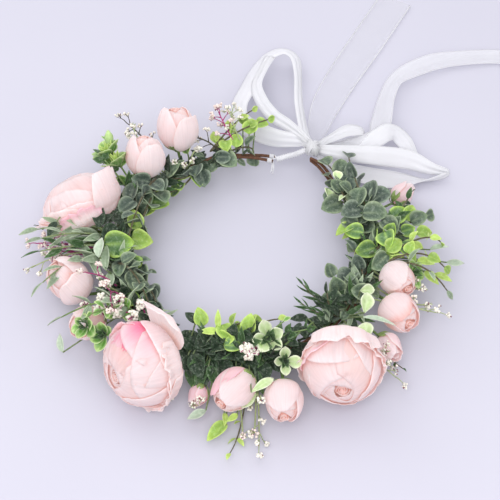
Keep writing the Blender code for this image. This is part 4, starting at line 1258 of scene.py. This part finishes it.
def build_right_leaves():
    rng = rng_for("leaves_right")
    shell = Shell()
    set_leaves(shell, rng, "gum_young", (269, -16, 13, 135, 40, 13, 5), (284, -8, 13, 320, 0, 14, 6.5),
               (295, -14, 15, 100, 40, 15, 5.5), (31, -16, 9, 220, 0, 14, 6), (17, 16, 17, 60, 10, 14, 6),
               (34, 32, 11, 80, 20, 13, 5.5), (26, 39, 9, 30, 0, 12, 5), (285, 51, -13, 250, 5, 18, 4.5))
    set_leaves(shell, rng, "lime", (279, -15, 17, 115, 45, 13, 2.2), (276, -7, 13, 200, 5, 14, 2.8),
               (15, 39, 7, 20, 0, 13, 3.6), (10, 44, 5, 330, 0, 14, 3.2), (12, 52, 1, 0, -5, 13, 2.8),
               (287, 44, -9, 300, 0, 9, 2.2), (289, 43, -9, 240, 0, 9, 2.2), (31, -13, 3, 230, 0, 10, 3))
    set_leaves(shell, rng, "gum_turning", (288, 0, 11, 20, 5, 13, 6), (20, 11, 17, 300, 10, 15, 7),
               (16, -3, 11, 230, 10, 17, 6.5), (18, 26, 11, 330, 0, 15, 6.5), (28, -10, 11, 200, 10, 14, 6),
               (33, 23, 13, 60, 10, 16, 6.5))
    set_leaves(shell, rng, "grey", (57, 0, 15, 150, 15, 18, 8.5), (46, 11, 17, 110, 20, 17, 7.5),
               (43, 16, 15, 60, 10, 17, 7.5), (0, -11, 7, 250, 5, 15, 8), (27, 25, 11, 350, 0, 15, 6.5),
               (56, -11, 7, 190, 0, 14, 6.5), (39, -8, 15, 230, 20, 16, 7.5))
    set_leaves(shell, rng, "gum", (50, -16, 9, 230, 10, 16, 7.5), (46, 1, 15, 100, 10, 18, 8),
               (34, 6, 17, 10, 15, 18, 8), (353, 3, 11, 200, 20, 13, 6), (10, 8, 13, 250, 0, 16, 7),
               (27, 14, 17, 330, 10, 15, 6.5), (56, 4, 9, 80, 10, 15, 7))
    set_leaves(shell, rng, "cream", (60, -3, 19, 120, 30, 8, 4), (57, -14, 12, 300, 10, 10, 5),
               (49, -9, 14, 60, 10, 7, 3.5),
               (352, 8, 18, 20, 10, 10, 4), (345, 14, 22, 100, 30, 14, 5))
    set_leaves(shell, rng, "cream", (298, 32, 13, 60, 5, 19, 3.2), (337, 26, 17, 110, 20, 13, 5.5),
               (294, 37, 3, 250, 0, 14, 3))
    set_leaves(shell, rng, "haze", (344, 26, 17, 15, 5, 22, 2.6), (23, 49, 1, 40, 10, 14, 3),
               (18, 60, -1, 20, 0, 13, 2.5),
               (279, 45, -7, 230, 0, 14, 3))
    # painted shade: near-black dark leaves where shadow lies under the front right flowers
    set_leaves(shell, rng, "dark", (281, 2, 3, 300, 0, 17, 7),
               (288, 5, 1, 310, 0, 17, 7), (268, -1, 5, 290, 0, 16, 7), (275, -2, 7, 240, 0, 16, 7),
               (324, -17, 3, 200, 0, 12, 3), (270, 8, 2, 300, 0, 17, 6), (294, 6, 3, 330, 0, 16, 6),
               (272, 15, 1, 300, -10, 15, 5), (275, 15, 3, 310, -10, 18, 6), (279, 17, 1, 280, -12, 17, 5),
               (285, 15, 4, 300, -10, 18, 6), (289, 19, 1, 285, -15, 17, 5), (294, 18, 2, 310, -10, 18, 6),
               (299, 17, 3, 290, -10, 17, 6))
    set_leaves(shell, rng, "fern", (274, 21, -3, 300, -15, 18, 4), (277, 22, -2, 270, -15, 19, 4),
               (282, 20, 1, 320, -15, 18, 4), (290, 24, -2, 270, -20, 18, 4), (297, 22, 1, 320, -15, 18, 4))
    rosette(shell, polar(303, RING - 2, RING_HEIGHT + 15), heading(292, 55), rng, length=13, width=4.4,
            pale=5, heart="fern")
    rosette(shell, polar(307, RING + 17, RING_HEIGHT + 13), heading(300, 50), rng, length=12, width=4.0,
            pale=4,
            dark=10, heart="fern")
    rosette(shell, polar(9, RING + 30, RING_HEIGHT + 8), heading(0, 40), rng, length=11, kind="box",
            heart="fern")
    shell.make("leaves_right", "right_half", LEAF, thick=LEAF_THICK, slot="eucalyptus")
    shell = Shell()
    clumps(shell, rng, MAGENTA, CREAM, (293, 6, 17), (294, 9, 14), (297, 5, 14), specks=0.16)
    clumps(shell, rng, PALE_TWIG, CREAM, (277, 38, -7), (279, 34, -5),
           (297, 41, 9), (8, 34, 5), (6, 40, 3), (1, 46, 1), (339, 41, 3), (337, 46, 1), (341, 38, 5),
           puff=2.6, count=20, size=0.8, specks=0.3)
    clumps(shell, rng, PALE_TWIG, PINK_CREAM, (292, 54, -13), (295, 52, -13), puff=2.4, count=22, size=0.8,
           specks=0.3)
    shell.make("florets_right", "right_half", LEAF, slot="blossom")
    # painted shade: the dark spans fill the gaps under the leaves with near-black leaves that stand for shadow
    undergrowth("undergrowth_right", "right_half", [
        (271, 316, 68, "dark", 16, 4.0, 1.2), (271, 316, 28, "fern", 17, 2.2, 1.5),
        (316, 405, 48, "dark", 15, 3.2, 0.8), (316, 405, 30, "fern", 17, 1.8, 1.2),
        (330, 418, 16, "gum", 13, 5.0, 1.0), (271, 316, 16, "gum", 12, 4.5, 1.0),
        (330, 390, 20, "willow", 16, 2.2, 1.4)])


def build_ring():
    for name in ("wire_left_a", "wire_left_b"):
        wire(name, "left_half")
    for name in ("wire_right_a", "wire_right_b"):
        wire(name, "right_half")
    tape("tape_brow", "right_half")
    tape("tape_right", "right_half")
    tape("tape_left", "left_half")
    dark, mid, brown = (0.02, 0.04, 0.015), (0.07, 0.11, 0.035), (0.05, 0.03, 0.015)
    bound_stems("stems_left", "left_half", [
        (118, 142, 6, dark), (142, 176, 5, dark), (184, 228, 8, dark), (228, 258, 7, mid),
        (150, 200, 3, brown)])
    bound_stems("stems_right", "right_half", [
        (278, 312, 9, dark), (318, 352, 6, mid), (366, 400, 8, dark), (352, 380, 4, brown),
        (396, 420, 4, brown)])


def build_bow():
    rng = rng_for("bow")
    knot = in_box("bow_knot", 0.5, 0.5, 0.5)
    low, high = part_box("bow_knot")
    size = float((high - low).length) / MM / 2 / math.sqrt(3)

    wound = Shell()
    for i, (lean, wide) in enumerate(((0.1, 5.5), (1.1, 4.5), (-0.7, 4.5), (0.5, 3.5))):
        axis = unit(heading(20 + 60 * lean) + UP * 0.3 * lean)
        side = unit(np.cross(axis, UP))
        other = np.cross(axis, side)
        a = np.linspace(0, 2 * math.pi, 40)
        loop = [(knot + (side * math.cos(x) + other * math.sin(x)) * size * (0.78 + 0.05 * i),
                 side * math.cos(x)
                 + other * math.sin(x)) for x in a]
        ribbon(wound, loop, [wide], rng, count=60, cols=9, pleat=0.5, crown=0.8)
    wound.make("bow_knot_wound", "right_half", SATIN, ["bow_knot"], thick=0.3, slot="satin")

    def strip(node, *rows):
        """Places along a strip: fractions of the node's box, then the way its face looks."""
        return [(in_box(node, *row[:3]), row[3:]) for row in rows]

    def from_knot(azimuth, rise, *facing):
        return [(knot + heading(azimuth) * size * 0.6 + UP * rise, facing)]

    def bends(body, azimuth, reach):
        """The bodies' names and two points, by the knot and this far out along the azimuth; make() only uses them
        as a sign to bake the piece in place, with no body.
        """
        ends = [knot + heading(azimuth) * size * 0.5, knot + heading(azimuth) * reach]
        return ("right_half", body, *[tuple((p + CROWN) * MM) for p in ends])

    node = "bow_loop_left"
    loop = Shell()
    ribbon(loop, from_knot(118, 0, 0.5, -0.3, 1.0) + strip(
        node, (0.90, 0.10, 0.70, 0.7, -0.2, 0.9), (0.69, 0.39, 0.60, 0.8, -0.2, 0.7),
        (0.54, 0.66, 0.52, 0.8, 0, 0.6),
        (0.41, 0.84, 0.48, 0.5, 0.3, 0.8), (0.26, 0.88, 0.46, 0.0, 0.4, 0.9),
        (0.15, 0.79, 0.44, -0.4, 0.1, 0.9),
        (0.11, 0.62, 0.42, -0.5, -0.3, 0.9), (0.11, 0.44, 0.38, -0.4, -0.5, 0.9),
        (0.11, 0.29, 0.32, -0.3, -0.7, 0.8),
        (0.18, 0.17, 0.28, 0.0, -0.8, 0.8), (0.35, 0.09, 0.34, 0.2, -0.8, 0.8),
        (0.62, 0.04, 0.48, 0.2, -0.8, 0.8),
        (0.88, 0.04, 0.64, 0.2, -0.7, 0.8)) + from_knot(165, 0, 0.2, -0.6, 1.0),
        [4, 8, 9, 9, 11, 11, 12, 15, 15, 14, 14, 15, 14, 9, 4], rng, count=120, crown=0.9)
    ribbon(loop, strip(
        node, (0.17, 0.78, 0.50, -0.2, -0.2, 1), (0.17, 0.62, 0.52, -0.4, -0.3, 0.9),
        (0.20, 0.45, 0.54, -0.3, -0.5, 0.9),
        (0.34, 0.31, 0.57, 0.1, -0.7, 0.8), (0.52, 0.20, 0.62, 0.2, -0.7, 0.8),
        (0.70, 0.14, 0.68, 0.2, -0.7, 0.8),
        (0.89, 0.06, 0.76, 0.2, -0.6, 0.9)) + from_knot(145, 1, 0.2, -0.5, 1.0),
        [9, 10, 10, 10, 10, 9, 6, 4], rng, count=70, crown=0.7)
    loop.make("bow_loop_left_satin", None, SATIN, [node], thick=0.22, slot="satin",
              blend=bends("bow_left", 142, 24))

    node = "bow_loop_right"
    loop = Shell()
    ribbon(loop, from_knot(10, 1, 0, -0.6, 1) + strip(
        node, (-0.02, 0.15, 0.81, 0, -0.6, 1), (0.12, 0.24, 0.74, 0, -0.6, 1),
        (0.41, 0.51, 0.60, 0.1, -0.6, 0.9),
        (0.65, 0.73, 0.44, 0.2, -0.6, 0.8), (0.84, 0.78, 0.28, 0.5, -0.6, 0.7),
        (0.97, 0.86, 0.16, 1, -0.3, 0.2),
        (0.86, 0.66, 0.08, 0.6, -0.5, -0.6), (0.60, 0.40, 0.08, 0.2, 0.3, -1),
        (0.36, 0.25, 0.16, 0.1, 0.4, -1),
        (0.14, 0.14, 0.36, 0, 0.4, -1), (-0.02, 0.12, 0.62, 0, 0.4, -1)) + from_knot(-8, -2, 0, 0.4, -1),
        [4, 6, 11, 15, 15, 9, 4, 9, 15, 14, 11, 6, 4], rng, count=120, crown=1.0)
    ribbon(loop, from_knot(50, 1, -0.2, -0.6, 1) + strip(
        node, (0.02, 0.50, 0.77, -0.3, -0.5, 1), (0.11, 0.86, 0.66, -0.2, -0.4, 1),
        (0.20, 1.06, 0.48, 0.3, 0.3, 0.9),
        (0.19, 0.95, 0.35, 0.5, 0, -0.9), (0.08, 0.62, 0.45, 0.3, 0.2, -1)) + from_knot(30, -2, 0, 0.3, -1),
        [4, 8, 12, 11, 10, 8, 4], rng, count=80, crown=0.8)
    ribbon(loop, strip(
        node, (0.16, 0.50, 0.35, -0.2, -0.6, 1), (0.28, 0.74, 0.46, -0.2, -0.6, 0.9),
        (0.35, 0.96, 0.56, -0.2, -0.6, 0.8),
        (0.41, 1.15, 0.58, 0, -0.5, 0.9), (0.47, 1.25, 0.46, 0.3, -0.2, 1),
        (0.56, 1.20, 0.28, 0.5, -0.4, 0.8),
        (0.66, 1.05, 0.12, 0.4, -0.6, 0.7)), [7, 13, 15, 14, 13, 13, 7], rng, count=80, crown=0.9)
    loop.make("bow_loop_right_satin", None, SATIN, [node], thick=0.22, slot="satin",
              blend=bends("bow_right", 15, 24))

    tails = Shell()
    node = "ribbon_tail_left"
    ribbon(tails, from_knot(92, -1, 0.1, -0.3, 1) + strip(
        node, (0.33, 0.10, 0.65, 0.2, -0.3, 1), (0.16, 0.28, 0.15, 0.2, 0, 1), (0.18, 0.46, 0.05, 0, 0, 1),
        (0.31, 0.67, 0.05, 0, 0, 1), (0.50, 0.99, 0.05, 0, 0, 1)),
        [4, 14, 22, 26, 28, 28], rng, count=90, crown=0.5, wave=0.15)
    tails.make("ribbon_tail_left_sheer", None, SHEER, [node], thick=0.2, slot="satin",
               blend=bends("tails", 81, 26))
    tails = Shell()
    node = "ribbon_tail_right"
    ribbon(tails, from_knot(70, -1, 0, -0.3, 1) + strip(
        node, (0.13, 0.07, 0.60, 0, -0.4, 1), (0.27, 0.18, 0.62, 0, -0.4, 1),
        (0.25, 0.28, 0.50, -0.2, -0.4, 1),
        (0.21, 0.47, 0.30, -0.4, -0.3, 0.9), (0.22, 0.61, 0.30, -0.3, -0.5, 0.9),
        (0.34, 0.75, 0.30, 0.1, -0.6, 0.9),
        (0.48, 0.85, 0.20, 0.1, -0.4, 1), (0.70, 0.95, 0.10, 0, -0.3, 1), (0.99, 1.00, 0.08, 0, -0.1, 1)),
        [4, 12, 15, 17, 15, 14, 14, 13, 13, 12], rng, count=110, crown=0.8, wave=0.2)
    tails.make("ribbon_tail_right_sheer", None, THIN, [node], thick=0.2, slot="satin",
               blend=bends("tails", 81, 26))
    build_cord(knot, size)


def build_cord(knot, size):
    """Gathered elastic from the left prongs to the knot, wound round the prongs with a loose end."""
    rng = rng_for("cord")
    points = cad_points("elastic_cord")
    start = points[np.argsort(np.linalg.norm(points - knot, axis=1))[-8:]].mean(0)
    end = knot + unit(start - knot) * size * 0.7
    path = bezier(start, (start + end) / 2 - UP * 0.8, end, 70)
    sides = 14
    t = np.linspace(0, 1, 70)[:, None]
    a = np.linspace(0, 2 * math.pi, sides, endpoint=False)[None, :]
    gather = np.abs(np.sin(t * 42 + 0.8 * np.sin(a * 2 + 3 * t)))
    radius = 1.5 + 0.9 * gather * (0.7 + 0.3 * np.sin(3 * a + 9 * t))
    shell = Shell()
    shell.tube(path, radius, SATIN_WHITE, sides=sides)
    row = [tuple((p + CROWN) * MM) for p in (start, end)]
    shell.make("elastic_cord_gathered", None, SATIN, ["elastic_cord"], slot="satin",
               blend=("left_half", "right_half", *row))
    winding = Shell()
    for name in ("wire_left_a", "wire_left_b"):
        line = wire_path(name)
        tip = line[0]
        back = unit(line[1] - line[0])
        side = unit(np.cross(back, UP))
        other = np.cross(back, side)
        coil = np.array([
            tip + back * (0.6 + 3.4 * k) + (side * math.cos(32 * k) + other * math.sin(32 * k)) * 1.55
            for k in np.linspace(0, 1, 90)
        ])
        winding.tube(coil, 0.4, SATIN_WHITE, sides=7)
        link = bezier(coil[0], (coil[0] + start) / 2 + UP * 1.0, start, 12)
        winding.tube(link, 0.5, SATIN_WHITE, sides=7)
    end = wire_path("wire_left_b")[0]
    for i in range(5):
        tip = end + np.array([rng.uniform(-1, 3), rng.uniform(-9, -5), rng.uniform(-7, -2)])
        winding.tube(bezier(end, (end + tip) / 2 + rng.uniform(-1.5, 1.5, 3), tip, 10), 0.3, SATIN_WHITE,
                     sides=5)
    winding.make("cord_winding", "left_half", SATIN, slot="satin")


# ------------------------------------------------------------------ table, light, camera


TABLE_HALF = 3.0
CAMERA_AZIMUTH, CAMERA_ELEVATION = 22, 52
CAMERA_DISTANCE, CAMERA_LENS = 1.0, 102.86


def build_stage():
    n = Nodes("table_paper")
    colour = n.mix(n.noise(n.here(), 6.0, 2.0), (0.495, 0.487, 0.562, 1), (0.525, 0.517, 0.588, 1))
    surface = n.add("BsdfPrincipled", Base_Color=colour, Roughness=0.75, Specular_IOR_Level=0.2)
    made = n.finish(surface.outputs[0])
    mesh = bpy.data.meshes.new("table")
    s = TABLE_HALF
    mesh.from_pydata([(-s, -s, 0), (s, -s, 0), (s, s, 0), (-s, s, 0)], [], [(0, 1, 2, 3)])
    mesh.materials.append(made)
    table = bpy.data.objects.new("table", mesh)
    table.location = (middle.x, middle.y, TABLE)
    bpy.context.scene.collection.objects.link(table)

    world = bpy.data.worlds.new("studio")
    world.use_nodes = True
    world.node_tree.nodes["Background"].inputs["Color"].default_value = (0.97, 0.97, 1.0, 1)
    world.node_tree.nodes["Background"].inputs["Strength"].default_value = 1.02
    bpy.context.scene.world = world
    bpy.context.scene.view_settings.view_transform = "Standard"
    centre = Vector((middle.x, middle.y, TABLE + 0.02))
    for name, azimuth, lift, far, side, power in (
        ("key", 285, 52, 1.5, 1.0, 12.0), ("fill", 160, 50, 1.6, 1.4, 5.5), ("top", 60, 80, 1.8, 1.6, 3.5)
    ):
        light = bpy.data.lights.new(name, "AREA")
        light.shape, light.size, light.energy = "DISK", side, power
        lamp = bpy.data.objects.new(name, light)
        lamp.location = centre + Vector(heading(azimuth, lift)) * far
        lamp.rotation_euler = (centre - lamp.location).to_track_quat("-Z", "Y").to_euler()
        bpy.context.scene.collection.objects.link(lamp)

    camera = bpy.data.cameras.new("camera")
    camera.lens, camera.sensor_width = CAMERA_LENS, 36.0
    camera.shift_x, camera.shift_y = 0.014, 0.002
    camera.clip_start, camera.clip_end = 0.05, 20.0
    eye = bpy.data.objects.new("camera", camera)
    azimuth, elevation = math.radians(CAMERA_AZIMUTH), math.radians(CAMERA_ELEVATION)
    back = Vector((math.sin(azimuth) * math.cos(elevation), -math.cos(azimuth) * math.cos(elevation),
                   math.sin(elevation)))
    eye.location = centre + back * CAMERA_DISTANCE
    eye.rotation_euler = (-back).to_track_quat("-Z", "Y").to_euler()
    bpy.context.scene.collection.objects.link(eye)
    bpy.context.scene.camera = eye


build_flowers()
build_greenery()
build_ring()
build_bow()
build_stage()
